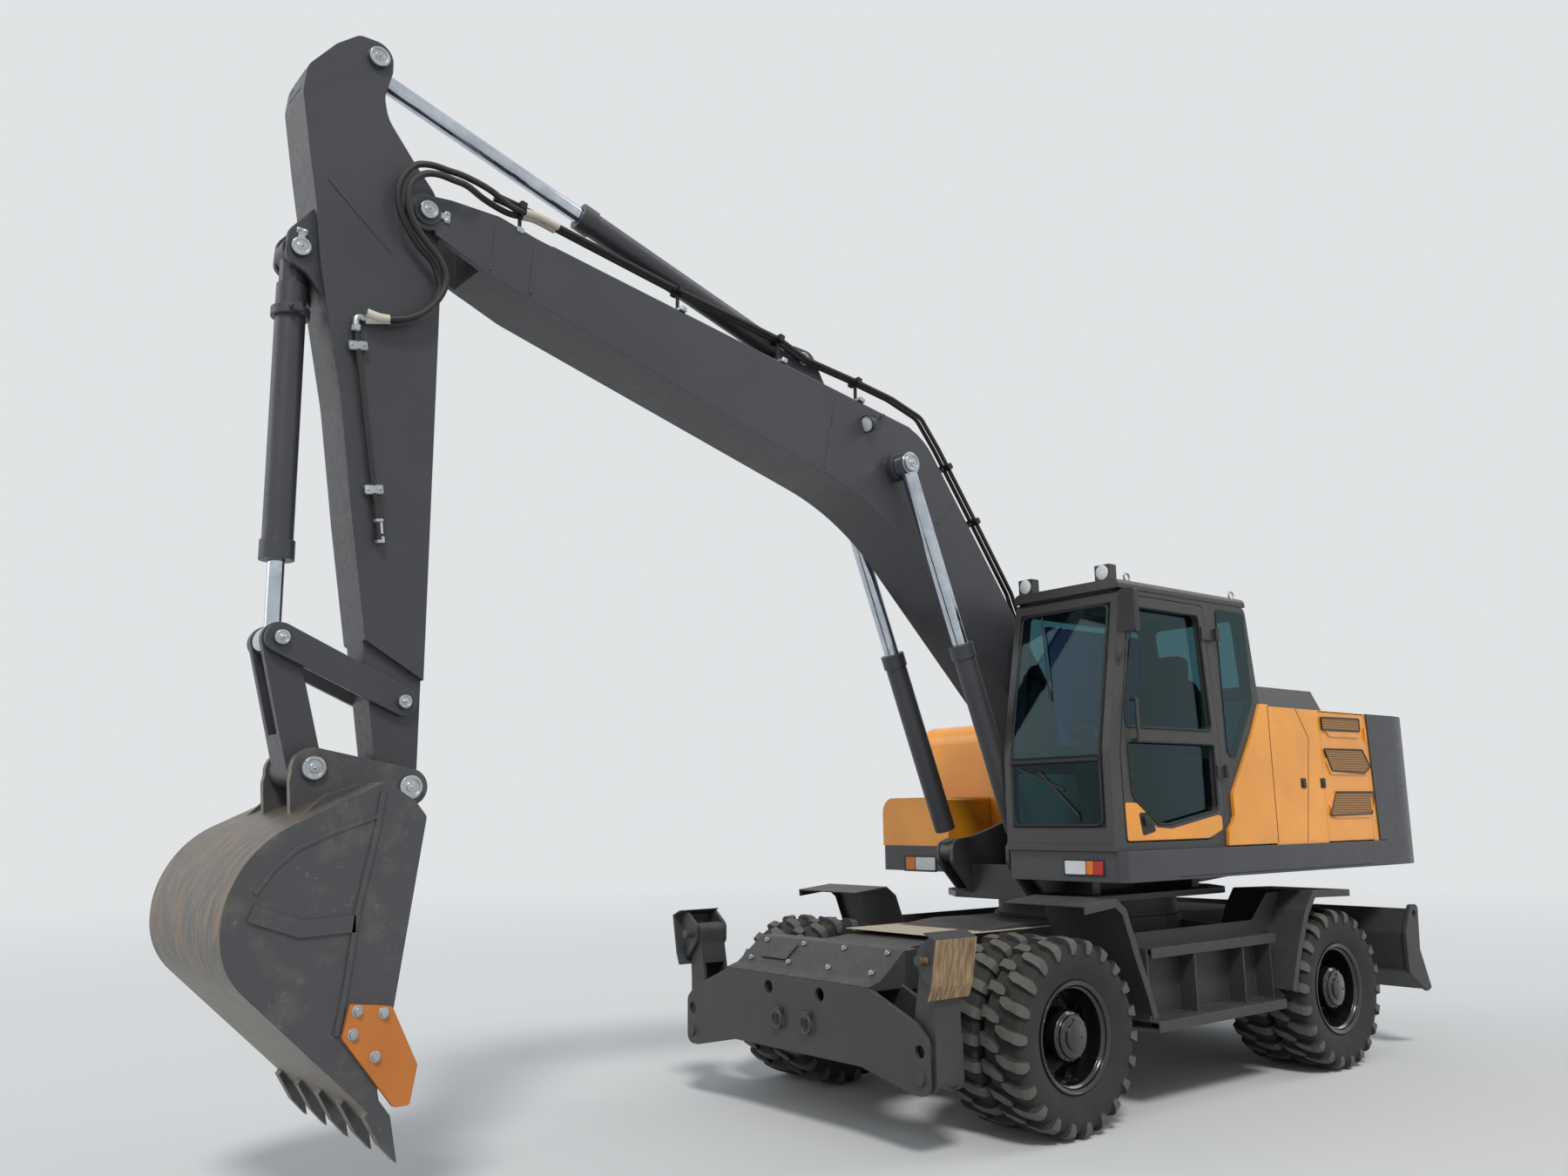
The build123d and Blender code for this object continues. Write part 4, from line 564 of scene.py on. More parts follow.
RIM_BOLTS = (      # count, first angle, circle's radius, height, bolt's size and height, whether on a washer
    (10, 0, 198, -108, 15, 20, True), (12, 0, 124, 75, 6, 6, False), (3, 0.4, 48, 112, 6, 5, False),
    (1, 0, 90, 94, 10, 8, True),
)


def wheel(corner, x, side):
    """A pair of tyres and its rims, outer and inner."""
    bm = bmesh.new()
    for index, y in enumerate((OUTER_Y, INNER_Y)):
        matrix = stand(at(x, side * y, WHEEL_Z), (0, 1, 0), (0, 0, 1))
        spin(bm, CARCASS + [(r, -w) for r, w in reversed(CARCASS[:-1])], matrix, 88)
        for step in range(TYRE_PITCHES):
            angle = math.tau * (step + 0.3 * index) / TYRE_PITCHES
            tyre_lug(bm, matrix, angle, 1)
            tyre_lug(bm, matrix, angle + math.pi / TYRE_PITCHES, -1)
    tyres = piece(f"tyre_pair_{corner}", bm, f"wheel_{corner}", ("rubber", "tread"), 24)
    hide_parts(f"tyres_{corner}")
    bm = bmesh.new()
    planes = (OUTER_Y, INNER_Y, INNER_Y - 80)
    face, inner, drum = (stand(at(x, side * y, WHEEL_Z), (0, side, 0), (0, 0, 1)) for y in planes)
    spin(bm, RIM_OUTER, face, 64)
    spin(bm, HUB, face, 48)
    spin(bm, RIM_INNER, inner, 64)
    spin(bm, [(118, 120), (118, 140), (0, 140)], drum, 32)
    for count, first, radius, height, size, tall, washer in RIM_BOLTS:
        for step in range(count):
            place = around(radius, math.tau * step / count + first, height)
            bolt(bm, face @ Matrix.Translation(place), size, tall, washer)
    rims = piece(f"rim_pair_{corner}", bm, f"wheel_{corner}", "black")
    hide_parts(f"rims_{corner}")


FRONT_AXLE, REAR_AXLE = 1683, -1110
for corner in CORNERS:
    wheel(corner, FRONT_AXLE if "front" in corner else REAR_AXLE, 1 if "left" in corner else -1)


# ---------- pins, clamps and fittings
def pin_head(bm, x, z, y, radius, side, proud):
    """A turned pin head with a stepped face and a grease nipple."""
    face = stand(at(x, side * y, z), (0, side, 0), (0, 0, 1))
    spin(bm, [
        (radius, -4), (radius, proud - 4), (radius - 3, proud), (radius * 0.72, proud), (radius * 0.70, proud - 4),
        (radius * 0.42, proud - 4), (radius * 0.40, proud), (0, proud + 1),
    ], face, 40)
    spin(bm, [(6, proud - 2), (6, proud + 6), (3, proud + 8), (4, proud + 14), (0, proud + 15)], face, 10)


def keeper(bm, x, z, y, angle, side, reach=118, width=62):
    """A plate that keeps a pin from turning: a neck from the pin to two bolts."""
    turn = math.radians(angle)
    along, across = Vector((math.cos(turn), math.sin(turn))), Vector((-math.sin(turn), math.cos(turn)))
    middle, half = Vector((x, z)), width / 2
    corners = []
    for a, b, r in (
        (20, 24, 0), (reach - 34, 14, 12), (reach - 26, half, 6), (reach, half, 8), (reach, -half, 8),
        (reach - 26, -half, 6), (reach - 34, -14, 12), (20, -24, 0),
    ):
        point = middle + along * a + across * b
        corners.append((point.x, point.y, r))
    slab(bm, corners, "y", side * (y - 2), side * (y + 8), 1.5)
    for b in (-width * 0.3, width * 0.3):
        point = middle + along * (reach - 13) + across * b
        bolt(bm, stand(at(point.x, side * (y + 8), point.y), (0, side, 0)), 8, 7)


def chamfered(bm, matrix, size, cut):
    """A block of size in mm with its edges taken off by cut in metres."""
    made = bmesh.ops.create_cube(bm, size=1, matrix=matrix @ Matrix.Diagonal((*(value / 1000 for value in size), 1)))
    edges = list({edge for vert in made["verts"] for edge in vert.link_edges})
    bmesh.ops.bevel(bm, geom=edges, offset=cut, segments=2, affect="EDGES")


def clamp(bm, point, direction, up, gauge, wide, tall):
    """A two-part block that holds a pipe, with its two bolts."""
    matrix = stand(point, direction, up)
    chamfered(bm, matrix, (tall, wide, gauge), 0.004)
    for sign in (-1, 1):
        place = Matrix.Translation((tall / 2000, sign * wide * 0.34 / 1000, 0))
        bolt(bm, matrix @ place @ Matrix.Rotation(math.pi / 2, 4, "Y"), 5, 5)


def skin(axis, a, b, side=1):
    """Where the outer skin of what is made so far lies in mm along an axis, seen from that side."""
    place = PLANES[axis]
    origin = place(a, b, 9000 * side)
    direction = (place(a, b, 0) - origin).normalized()
    found, hit, *_ = bpy.context.scene.ray_cast(bpy.context.evaluated_depsgraph_get(), origin, direction)
    if not found:
        raise ValueError(f"nothing at {a}, {b} along {axis}")
    return (hit.x - SLEW_X, hit.y, hit.z)["xyz".index(axis)] * 1000


def skin_under(x, y, height):
    """The top in mm of what lies under a point a little above height, or None."""
    graph = bpy.context.evaluated_depsgraph_get()
    found, hit, *_ = bpy.context.scene.ray_cast(graph, at(x, y, height + 40), Vector((0, 0, -1)), distance=0.1)
    return hit.z * 1000 if found else None


def ribbon(bm, points, half, axis, low, high):
    """A strip of even width along a line of points on a plane."""
    line = [Vector(point) for point in points]
    sides = []
    for index, here in enumerate(line):
        along = line[min(index + 1, len(line) - 1)] - line[max(index - 1, 0)]
        across = Vector((-along.y, along.x)).normalized() * half
        sides.append((here + across, here - across))
    slab(bm, [tuple(a) for a, b in sides] + [tuple(b) for a, b in reversed(sides)], axis, low, high)


def panel(bm, a_low, a_high, b_low, b_high, radius, axis, low, high, bevel=0.0):
    """A rectangular slab with rounded corners."""
    corners = [(a_low, b_low, radius), (a_high, b_low, radius), (a_high, b_high, radius), (a_low, b_high, radius)]
    slab(bm, corners, axis, low, high, bevel)


def bead(bm, path, radius, sides=8):
    """A round rubber seal along a closed path in metres."""
    tube(bm, [*path, path[0], path[1]], radius, sides, False)


def circle_of(count, place):
    """Points round a circle, each placed from its cosine and sine."""
    angles = [math.tau * k / count for k in range(count)]
    return [place(math.cos(angle), math.sin(angle)) for angle in angles]


def ball(bm, place, radius):
    profile = [(radius * math.sin(math.pi * k / 10), -radius * math.cos(math.pi * k / 10)) for k in range(11)]
    spin(bm, profile, Matrix.Translation(place), 20)


PAD_SIDES, PAD_ROWS = 40, 16


def pad(bm, middle, size, power, lean=0.0):
    """A crowned cushion: a rounded block of size in mm whose faces swell, leaned about the Y axis in degrees."""
    def soft(value):
        return math.copysign(abs(value) ** power, value)
    matrix = Matrix.Translation(at(*middle)) @ Matrix.Rotation(math.radians(lean), 4, "Y")
    loops = []
    for row in range(1, PAD_ROWS):
        v = -math.pi / 2 + math.pi * row / PAD_ROWS
        loop = []
        for step in range(PAD_SIDES):
            u = math.tau * step / PAD_SIDES
            point = (soft(math.cos(v)) * soft(math.cos(u)), soft(math.cos(v)) * soft(math.sin(u)), soft(math.sin(v)))
            loop.append(bm.verts.new(matrix @ Vector([p * s / 2000 for p, s in zip(point, size)])))
        loops.append(loop)
    bridge(bm, loops)


def centre(corners):
    return sum((Vector(corner) for corner in corners), Vector((0, 0))) / len(corners)


# ---------- pins of the boom, arm and bucket
BOOM_TIP, ARM_TAIL, BUCKET_FOOT = (5087, 4695), (5354, 5451), (5661, 4370)
LINK_PIN, ROCKER_PIN, BUCKET_PIN, BUCKET_LINK = (5651, 2518), (5082, 2261), (5066, 1867), (5505, 1947)
PIN_HEADS = {      # body: centre, radius
    "boom": ((BOOM_TIP, 47), ((2600, 4510), 44), ((1945, 3890), 58)),
    "arm": ((ARM_TAIL, 52), (BUCKET_FOOT, 46)),
    "rockers": ((LINK_PIN, 34), (ROCKER_PIN, 32)),
    "bucket": ((BUCKET_PIN, 54), (BUCKET_LINK, 52)),
}
for body, heads in PIN_HEADS.items():
    bm = bmesh.new()
    for (x, z), radius in heads:
        for side in (-1, 1):
            pin_head(bm, x, z, abs(skin("y", x, z, side)), radius, side, 10)
    if body == "boom":
        for side in (-1, 1):
            keeper(bm, *BOOM_TIP, abs(skin("y", 4985, 4689, side)), 181, side)
    piece(f"pin_heads_{body}", bm, body, "zinc")

bm = bmesh.new()
for side in (-1, 1):
    keeper(bm, *BUCKET_FOOT, abs(skin("y", 5664, 4440, side)), 92, side, 96, 54)
piece("bucket_ram_keepers", bm, "arm", "zinc")

# ---------- boom
SEAM_HALF, SEAM_PROUD = 7, 3.5
SEAMS = {      # body: lines of points (x, z)
    "boom": (
        ((4502, 4664), (4512, 4540), (4524, 4400)), ((4712, 4735), (4722, 4600), (4740, 4480)),
        ((2419, 4267), (2480, 4020), (2532, 3800)), ((1411, 3720), (1500, 3640), (1575, 3575)),
    ),
    "arm": (((5560, 4735), (5400, 4590), (5240, 4445)),),
}
for body, lines in SEAMS.items():
    bm = bmesh.new()
    for points in lines:
        for side in (-1, 1):
            face = skin("y", *centre((points[0], points[-1])), side)
            ribbon(bm, points, SEAM_HALF, "y", face - side * 3, face + side * SEAM_PROUD)
    piece(f"{body}_seams", bm, body, "charcoal")


def slope_run(turn):
    """The direction that rises by turn degrees towards the front."""
    return Vector((math.cos(math.radians(turn)), 0, math.sin(math.radians(turn))))


PIPE_Y = 150
bm = bmesh.new()
for x, turn in ((4585, 8), (3560, 12), (2828, 13), (2200, 30)):
    for side in (-1, 1):
        top = skin("z", x, side * PIPE_Y)
        clamp(bm, at(x, side * PIPE_Y, top - 6), slope_run(turn), (0, 0, 1), 40, 110, 30)
piece("boom_pipe_clamps", bm, "boom", "zinc")

# The raised pipes above the boom's back, on their clamps and stays; their lower ends go into the boom.
RAISED = [
    (4700, 4916), (4585, 4900), (3560, 4692), (2828, 4570), (2615, 4490), (2250, 4440), (1900, 4380), (1640, 4300),
    (1480, 4110), (1150, 3660), (820, 3200), (740, 3020), (735, 2840),
]
RAISED_Y = 131
bm = bmesh.new()
for y in (110, 152):
    tube(bm, bent([(x, y, z) for x, z in RAISED], 120), 14, 10)
piece("raised_pipes", bm, "boom", "plastic")
bm = bmesh.new()
for x, z, turn in ((4560, 4896, 12), (3560, 4692, 11), (2828, 4570, 14), (2200, 4431, 10)):
    clamp(bm, at(x, RAISED_Y, z), slope_run(turn), (0, 0, 1), 40, 100, 44)
    tube(bm, [at(x, RAISED_Y, skin("z", x, RAISED_Y) - 4), at(x, RAISED_Y, z)], 11, 8)
for x, z in ((1150, 3660), (1400, 4001)):
    clamp(bm, at(x, RAISED_Y, z), (0.59, 0, 0.81), (-0.81, 0, 0.59), 40, 100, 44)
    tube(bm, [at(x, RAISED_Y, z), at(x + 0.81 * 160, RAISED_Y, z - 0.59 * 160)], 11, 8)
piece("raised_pipe_clamps", bm, "boom", "seal")

bm = bmesh.new()
light = stand(at(2190, 232, 4133), (0.94, 0.1, -0.3), (0, 1, 0))
spin(bm, [(0, -62), (30, -60), (48, -30), (54, 0), (54, 16), (49, 18), (47, 12)], light, 28)
spin(bm, [(47, 12), (30, 17), (0, 19)], light, 28, 1)
tube(bm, bent([(2120, 208, 4190), (2130, 232, 4200), (2170, 232, 4185), (2185, 232, 4150)], 10), 8)
tube(bm, bent([(2140, 232, 4140), (2080, 228, 4170), (2030, 214, 4230)], 30), 5)
piece("work_light", bm, "boom", ("plastic", "lens_white"))

# ---------- arm
bm = bmesh.new()
ribbon(bm, [(5425, 5535), (5455, 5534), (5556, 5446), (5683, 5282), (5697, 5186)], 5, "y", -83, 83)
piece("arm_tail_cover", bm, "arm", "charcoal")

ARM_PIPE = [(5400, 165, 4030), (5393, 165, 3933), (5328, 165, 3523), (5282, 165, 3236), (5258, 165, 3142)]
ARM_CLAMPS = ((5391, 3925), (5283, 3240))
VALVE_RUN = (-0.12, 0, -1)
bm = bmesh.new()
tube(bm, bent(ARM_PIPE, 60), 14)
for x, z in ARM_CLAMPS:
    clamp(bm, at(x, 158, z), (0.16, 0, 1), (0, 1, 0), 40, 84, 34)
valve = [(22, -30), (26, -28), (26, 40), (20, 44), (20, 110), (24, 112), (24, 140), (0, 142)]
spin(bm, valve, stand(at(*ARM_PIPE[-1]), VALVE_RUN), 8)
piece("arm_pipe", bm, "arm", "plastic")
bm = bmesh.new()
for x, z in ARM_CLAMPS:
    clamp(bm, at(x, 160, z), (0.16, 0, 1), (0, 1, 0), 44, 88, 38)
tube(bm, bent([(5345, 158, 4068), (5405, 160, 4075), (5404, 165, 4000)], 40), 17, 14)
spin(bm, [(24, -14), (24, 14), (18, 18), (18, -18)], stand(at(5402, 165, 4010), (0, 0, 1)), 6)
sleeve = [(22, -20), (25, -18), (25, 30), (20, 34), (20, 100), (24, 102), (24, 132), (0, 134)]
spin(bm, sleeve, stand(at(5255, 165, 3120), VALVE_RUN), 8)
piece("arm_pipe_clamps", bm, "arm", "zinc")

# The ring with two bolted lugs round the bucket cylinder's barrel.
RING_REACH = 296
bm = bmesh.new()
run = (Vector(LINK_PIN) - Vector(BUCKET_FOOT)).normalized()
place = Vector(BUCKET_FOOT) + run * RING_REACH
run = Vector((run.x, 0, run.y))
ring = stand(at(place.x, 0, place.y), run, (0, 1, 0))
spin(bm, [(60, -24), (84, -24), (88, -20), (88, 20), (84, 24), (60, 24)], ring, 40)
for side in (-1, 1):
    lug = stand(at(place.x, side * 98, place.y), run, (0, side, 0))
    chamfered(bm, lug, (48, 40, 46), 0.005)
    bolt(bm, stand(at(place.x + 26, side * 100, place.y), (1, 0, 0)), 9, 9)
piece("bucket_ram_ring", bm, "bucket_barrel", "charcoal")

# ---------- bucket
BUCKET_STRIPS = (      # a line on the side plates (x, z), half the strip's width, how proud it stands
    (((5339, 1741), (5510, 1683), (5667, 1614), (5760, 1533), (5823, 1441)), 9, 5),
    (((5422, 1309), (5640, 1300), (5835, 1371)), 34, 9),
    (((5330, 1840), (5345, 1707), (5415, 1361), (5448, 1065), (5478, 880)), 12, 9),
)
bm = bmesh.new()
for points, half, proud in BUCKET_STRIPS:
    middle = len(points) // 2
    for side in (-1, 1):
        face = skin("y", *centre(points[middle - 1:middle + 1]), side)
        ribbon(bm, points, half, "y", face - side * 3, face + side * proud)
piece("bucket_side_strips", bm, "bucket", "bucket")
bm = bmesh.new()
for side in (-1, 1):
    for x, z in ((5404, 968), (5295, 950), (5418, 880), (5323, 784)):
        bolt(bm, stand(at(x, skin("y", x, z, side), z), (0, side, 0)), 17, 16)
piece("side_cutter_bolts", bm, "bucket", "zinc")

# ---------- undercarriage
FRONT = 2669      # front face of the outrigger frame
slope = stand(at(FRONT - 176, 0, 917), (143, 0, 185), (0, 1, 0))
bm = bmesh.new()
for a in (-540, -180, 180, 540):
    for b in (-78, 78):
        bolt(bm, slope @ Matrix.Translation((a / 1000, b / 1000, 0.004)), 13, 10)
piece("cover_bolts", bm, "chassis", "zinc")
bm = bmesh.new()
chamfered(bm, slope @ Matrix.Translation((-0.34, 0, 0.006)), (240, 130, 6), 0.002)
for a in (-0.44, -0.24):
    bolt(bm, slope @ Matrix.Translation((a, 0, 0.009)), 7, 6, False)
piece("access_panel", bm, "chassis", "under")
bm = bmesh.new()
for side in (-1, 1):
    shackle = []
    for k in range(16):
        angle = math.tau * k / 16
        bow = 2 * abs(math.sin(angle / 2))
        shackle.append(at(FRONT + 20 + bow, side * 130 + 42 * math.cos(angle), 570 + 48 * math.sin(angle)))
    bead(bm, shackle, 9, 10)
    chamfered(bm, stand(at(FRONT + 14, side * 130, 620), (1, 0, 0), (0, 0, 1)), (40, 60, 34), 0.00425)
piece("shackles", bm, "chassis", "under")

TREAD_PITCH, TREAD_ROWS = 46, (-52, 0, 52)
bm = bmesh.new()
for side in (-1, 1):
    for z_guess, y, x_low, x_high in ((509, 1120, -430, 915), (918, 1040, -540, 830)):
        for step in range(int((x_high - x_low) / TREAD_PITCH)):
            x = x_low + TREAD_PITCH * step
            for row in TREAD_ROWS:
                middle = side * (y + row)
                top = skin_under(x + 12, middle, z_guess)
                if top is not None:
                    ribbon(bm, [(x, middle - 15), (x + 24, middle + 15)], 3, "z", top - 1, top + 2.5)
piece("step_tread", bm, "chassis", "under")
bm = bmesh.new()
top = skin_under(1500, 0, 1035)
panel(bm, 640, 1900, -420, 420, 20, "z", top - 1, top + 1.5)
piece("dusty_deck", bm, "chassis", "beige")

# ---------- upper body: louvres, latches, seams and lamps
LOUVRES = (
    ((-1120, 2352), (-1655, 2358), (-1650, 2268), (-1125, 2264)),
    ((-1128, 2131), (-1662, 2136), (-1758, 2014), (-1664, 1968), (-1212, 1983)),
    ((-1240, 1834), (-1778, 1836), (-1724, 1682), (-1140, 1672)),
)
for side, name in ((1, "left"), (-1, "right")):
    door = f"service_door_{name}"
    bm = bmesh.new()
    for corners in LOUVRES:
        face = skin("y", *centre(corners), side)
        slab(bm, [(*corner, 8) for corner in corners], "y", face - side * 2, face + side * 1.5)
    piece(f"louvres_{name}", bm, door, "mesh")
    bm = bmesh.new()
    for corners in LOUVRES:
        face = skin("y", *centre(corners), side)
        bead(bm, [at(p.x, face + side, p.y) for p in rounded([(*corner, 8) for corner in corners])], 5, 6)
    for x, z in ((-831, 1893), (-1089, 1895)):
        face = skin("y", x, z, side)
        panel(bm, x - 30, x + 30, z - 34, z + 34, 8, "y", face - side * 2, face + side * 7, 3)
        panel(bm, x - 18, x + 18, z - 24, z + 16, 4, "y", face + side * 6, face + side * 12, 3)
    piece(f"latches_{name}", bm, door, "plastic")

PANEL_SEAMS = (
    ((-1640, 1330), (-600, 1330), (700, 1330)), ((-455, 2400), (-457, 1900), (-459, 1510)),
    ((-804, 2399), (-949, 2201), (-826, 1498)),
)
SHADED_SLITS, SLIT_PITCH = 7, 48
bm = bmesh.new()
for points in PANEL_SEAMS:
    face = skin("y", *centre(points[1:]))
    ribbon(bm, points, 3, "y", face - 2, face + 1)
# The vent slits are not cut: near-black strips in the seal material are painted shade of the openings.
for step in range(SHADED_SLITS):
    x, z = -352 + step * 3, 2010 - step * SLIT_PITCH
    face = skin("y", x + 60, z - 10)
    ribbon(bm, [(x, z), (x + 118, z - 26)], 5, "y", face - 2, face + 1.5)
piece("panel_seams_and_slit_shade", bm, "upper", "seal")

LAMPS = (      # y and z from, to; the material's index, with the recess first on each side
    (819, 1120, 1343, 1445, 0), (832, 982, 1355, 1433, 1), (990, 1038, 1355, 1433, 2), (1042, 1108, 1355, 1433, 3),
    (-1010, -676, 1308, 1422, 0), (-984, -892, 1320, 1410, 2), (-886, -690, 1320, 1410, 1),
)
bm = bmesh.new()
for y_low, y_high, z_low, z_high, material in LAMPS:
    if material == 0:
        face = skin("x", (y_low + y_high) / 2, (z_low + z_high) / 2)
    first = len(bm.faces)
    proud, bevel = (9, 3) if material else (3, 0)
    panel(bm, y_low, y_high, z_low, z_high, 8, "x", face - 2, face + proud, bevel)
    for made in list(bm.faces)[first:]:
        made.material_index = material
piece("front_lamps", bm, "upper", ("plastic", "lens_white", "lens_amber", "lens_red"))

# ---------- cab
DOOR_FACE_Y = 1216
DOOR_WINDOWS = (
    [(1080, 2215, 25), (1090, 2300), (945, 2955, 40), (260, 2955, 40), (195, 2215, 40)],
    [(1065, 1800, 120), (1085, 2130, 25), (185, 2130, 25), (185, 1720, 40), (700, 1640, 60), (820, 1640, 60)],
)
FRONT_X, BEND_Z, LEAN = 1255, 2080, 190 / 978      # the cab's front leans back above BEND_Z
SCREEN = [(475, 1640, 50), (1145, 1640, 50), (1145, BEND_Z), (1145, 2960, 50), (475, 2960, 50), (475, BEND_Z)]
BAR_Z = 2022


def lean_x(z):
    """The cab front's x at height z."""
    return FRONT_X - max(0, z - BEND_Z) * LEAN


bm = bmesh.new()
for outline in DOOR_WINDOWS:
    bead(bm, [at(p.x, DOOR_FACE_Y, p.y) for p in rounded(outline)], 8)
piece("door_seals", bm, "cab_door", "seal")
bm = bmesh.new()
bead(bm, [at(lean_x(p.y) + 4, p.x, p.y) for p in rounded(SCREEN)], 9)
tube(bm, [at(lean_x(BAR_Z) + 4, y, BAR_Z) for y in (478, 1142)], 16)
tube(bm, bent([(1262, 980, 1655), (1275, 980, 1700), (1272, 700, 1960)], 30), 6)
ribbon(bm, [(520, 1990), (880, 1850)], 7, "x", 1264, 1272)
WIPER = ((14, 640, 2940), (22, 700, 2700), (20, 760, 2400))      # off the screen, y, z
tube(bm, bent([(lean_x(z) + off, y, z) for off, y, z in WIPER], 60), 6)
piece("cab_seals", bm, "upper", "seal")

# The orange cheek behind the door, as far out as the side panels that it runs into.
CHEEK = [
    (-459, 2413), (-366, 2413), (-246, 2205), (-66, 1958, 60), (34, 1820, 60), (30, 1680, 40), (60, 1640, 20),
    (106, 1600, 20), (118, 1500), (-459, 1500),
]
bm = bmesh.new()
beside = skin("y", -470, 1900)
slab(bm, CHEEK, "y", 1205, beside if beside < 1240 else 1236)
piece("rear_cheek", bm, "upper", "orange")
bm = bmesh.new()
panel(bm, 1238, 1342, 2778, 3036, 16, "x", 1106, 1052, 8)
piece("mirror_shell", bm, "upper", "plastic")

DOOR_PANEL = [
    (1132, 1548, 20), (1138, 1770, 20), (1000, 1766, 60), (850, 1622, 60), (690, 1612, 40), (190, 1690, 30),
    (150, 1680, 20), (150, 1600, 30), (300, 1550, 30),
]
bm = bmesh.new()
slab(bm, DOOR_PANEL, "y", DOOR_FACE_Y - 2, DOOR_FACE_Y + 2, 1)
piece("door_panel", bm, "cab_door", "orange")
bm = bmesh.new()
recess = [(1015, 1712, 20), (905, 1710, 20), (850, 1600, 20), (985, 1575, 20)]
slab(bm, recess, "y", DOOR_FACE_Y, DOOR_FACE_Y + 3.5, 1)
latch = [(984, 1690, 14), (925, 1690, 14), (900, 1640, 14), (970, 1632, 14)]
slab(bm, latch, "y", DOOR_FACE_Y + 2, DOOR_FACE_Y + 20, 5)
piece("door_recess", bm, "cab_door", "plastic")

ROOF_Z = 3128
bm = bmesh.new()
for x in (892, -260):
    bead(bm, circle_of(16, lambda c, s: at(x + 26 * c, 1150, ROOF_Z + 20 + 26 * s)), 7, 8)
    spin(bm, [(24, -12), (24, -4), (14, 0), (0, 0)], stand(at(x, 1150, ROOF_Z), (0, 0, 1)), 16)
piece("lifting_eyes", bm, "upper", "zinc")
bm = bmesh.new()
for y in (495, 1104):
    spin(bm, [(44, -6), (46, 0), (42, 2), (34, 6), (0, 9)], stand(at(1076, y, 3166), (1, 0, 0), (0, 0, 1)), 28)
piece("roof_lamp_lenses", bm, "upper", "lens_white")

bm = bmesh.new()
panel(bm, -330, 1190, 1590, 1960, 0, "y", 451, 458)
panel(bm, 470, 1150, 1590, 2440, 0, "x", -330, -318)
panel(bm, -300, 1030, 470, 1150, 0, "z", 3052, 3060)
piece("cab_lining", bm, "upper", "interior")

FLOOR = 1587
SEAT_Y, CONSOLE_Y = 809, 809.5
bm = bmesh.new()
pad(bm, (270, SEAT_Y, 1905), (480, 480, 140), 0.45)
pad(bm, (70, SEAT_Y, 2270), (150, 470, 640), 0.45, -7)
pad(bm, (0, SEAT_Y, 2650), (120, 250, 190), 0.5, -5)
for side in (-1, 1):
    pad(bm, (250, SEAT_Y + side * 226, 2120), (330, 44, 60), 0.5)
tube(bm, [at(240, SEAT_Y, z) for z in (FLOOR, 1700, 1850)], [150, 120, 150], 20)
seat = piece("padded_seat", bm, "upper", "fabric")
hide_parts("seat")

bm = bmesh.new()
for side in (-1, 1):
    middle = CONSOLE_Y + side * 302
    slab(bm, [(60, FLOOR), (560, FLOOR), (640, 2060, 60), (60, 2040, 30)], "y", middle - 44, middle + 44, 8)
    tube(bm, [at(560, middle, 2040), at(575, middle, 2130), at(585, middle, 2200)], [16, 12, 15], 12)
    ball(bm, at(588, middle, 2225), 32)
slab(bm, [(900, FLOOR, 20), (1010, FLOOR, 20), (900, 2120, 30), (830, 2090, 30)], "y", 750, 869, 10)
ring = stand(at(800, CONSOLE_Y, 2190), (-0.45, 0, 0.9), (1, 0, 0))
bead(bm, circle_of(40, lambda c, s: ring @ Vector((0.185 * c, 0.185 * s, 0))), 15, 10)
for k in range(3):
    turn = math.tau * k / 3 + math.pi / 2
    spoke = Vector((math.cos(turn), math.sin(turn), 0))
    tube(bm, [ring @ (spoke * 0.03), ring @ (spoke * 0.18)], 11, 10)
spin(bm, [(46, -20), (46, 8), (30, 16), (0, 18)], ring, 24, 1)
consoles = piece("consoles", bm, "upper", ("plastic", "zinc"))
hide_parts("console")

# The curtain hangs in folds along the right window, gathered on its rail.
ROWS, COLUMNS, FOLDS = 26, 150, 17
CURTAIN_WIDTH, CURTAIN_DROP = 1060, 780
bm = bmesh.new()
for row in range(ROWS + 1):
    down = row / ROWS
    width = CURTAIN_WIDTH * (1 - 0.16 * down)
    for column in range(COLUMNS + 1):
        across = column / COLUMNS
        x = 350 - width / 2 + across * width
        fold = 13 * math.sin(across * math.tau * FOLDS + 0.6 * math.sin(down * 3))
        bm.verts.new(at(x, 478 + (fold + 3 * math.sin(across * 60 + down * 5)), 2925 - CURTAIN_DROP * down))
bm.verts.ensure_lookup_table()
for row in range(ROWS):
    for column in range(COLUMNS):
        k = row * (COLUMNS + 1) + column
        bm.faces.new([bm.verts[i] for i in (k, k + 1, k + COLUMNS + 2, k + COLUMNS + 1)])
area = sum(face.calc_area() for face in bm.faces)
curtain = piece("curtain", bm, "upper", "curtain", 180)

# ---------- hoses from the boom to the arm
HOSES = (
    [(4913, 225, 4922), (5004, 225, 4925), (5093, 225, 4925), (5171, 225, 4898), (5229, 222, 4825), (5250, 218, 4737),
     (5238, 214, 4652), (5192, 208, 4570), (5128, 200, 4492), (5056, 190, 4439), (5018, 185, 4370), (5006, 185, 4293),
     (5047, 182, 4211), (5114, 178, 4150), (5197, 172, 4102), (5272, 168, 4083), (5362, 160, 4064)],
    [(4913, 262, 4853), (4990, 262, 4862), (5070, 262, 4866), (5140, 262, 4845), (5195, 260, 4790), (5214, 256, 4710),
     (5200, 252, 4630), (5160, 246, 4560), (5100, 236, 4500), (5030, 226, 4440), (4995, 222, 4370), (4998, 220, 4300),
     (5036, 217, 4220), (5110, 212, 4140), (5196, 206, 4095), (5290, 198, 4078), (5364, 190, 4090)],
)
HOSE_POINTS = 120
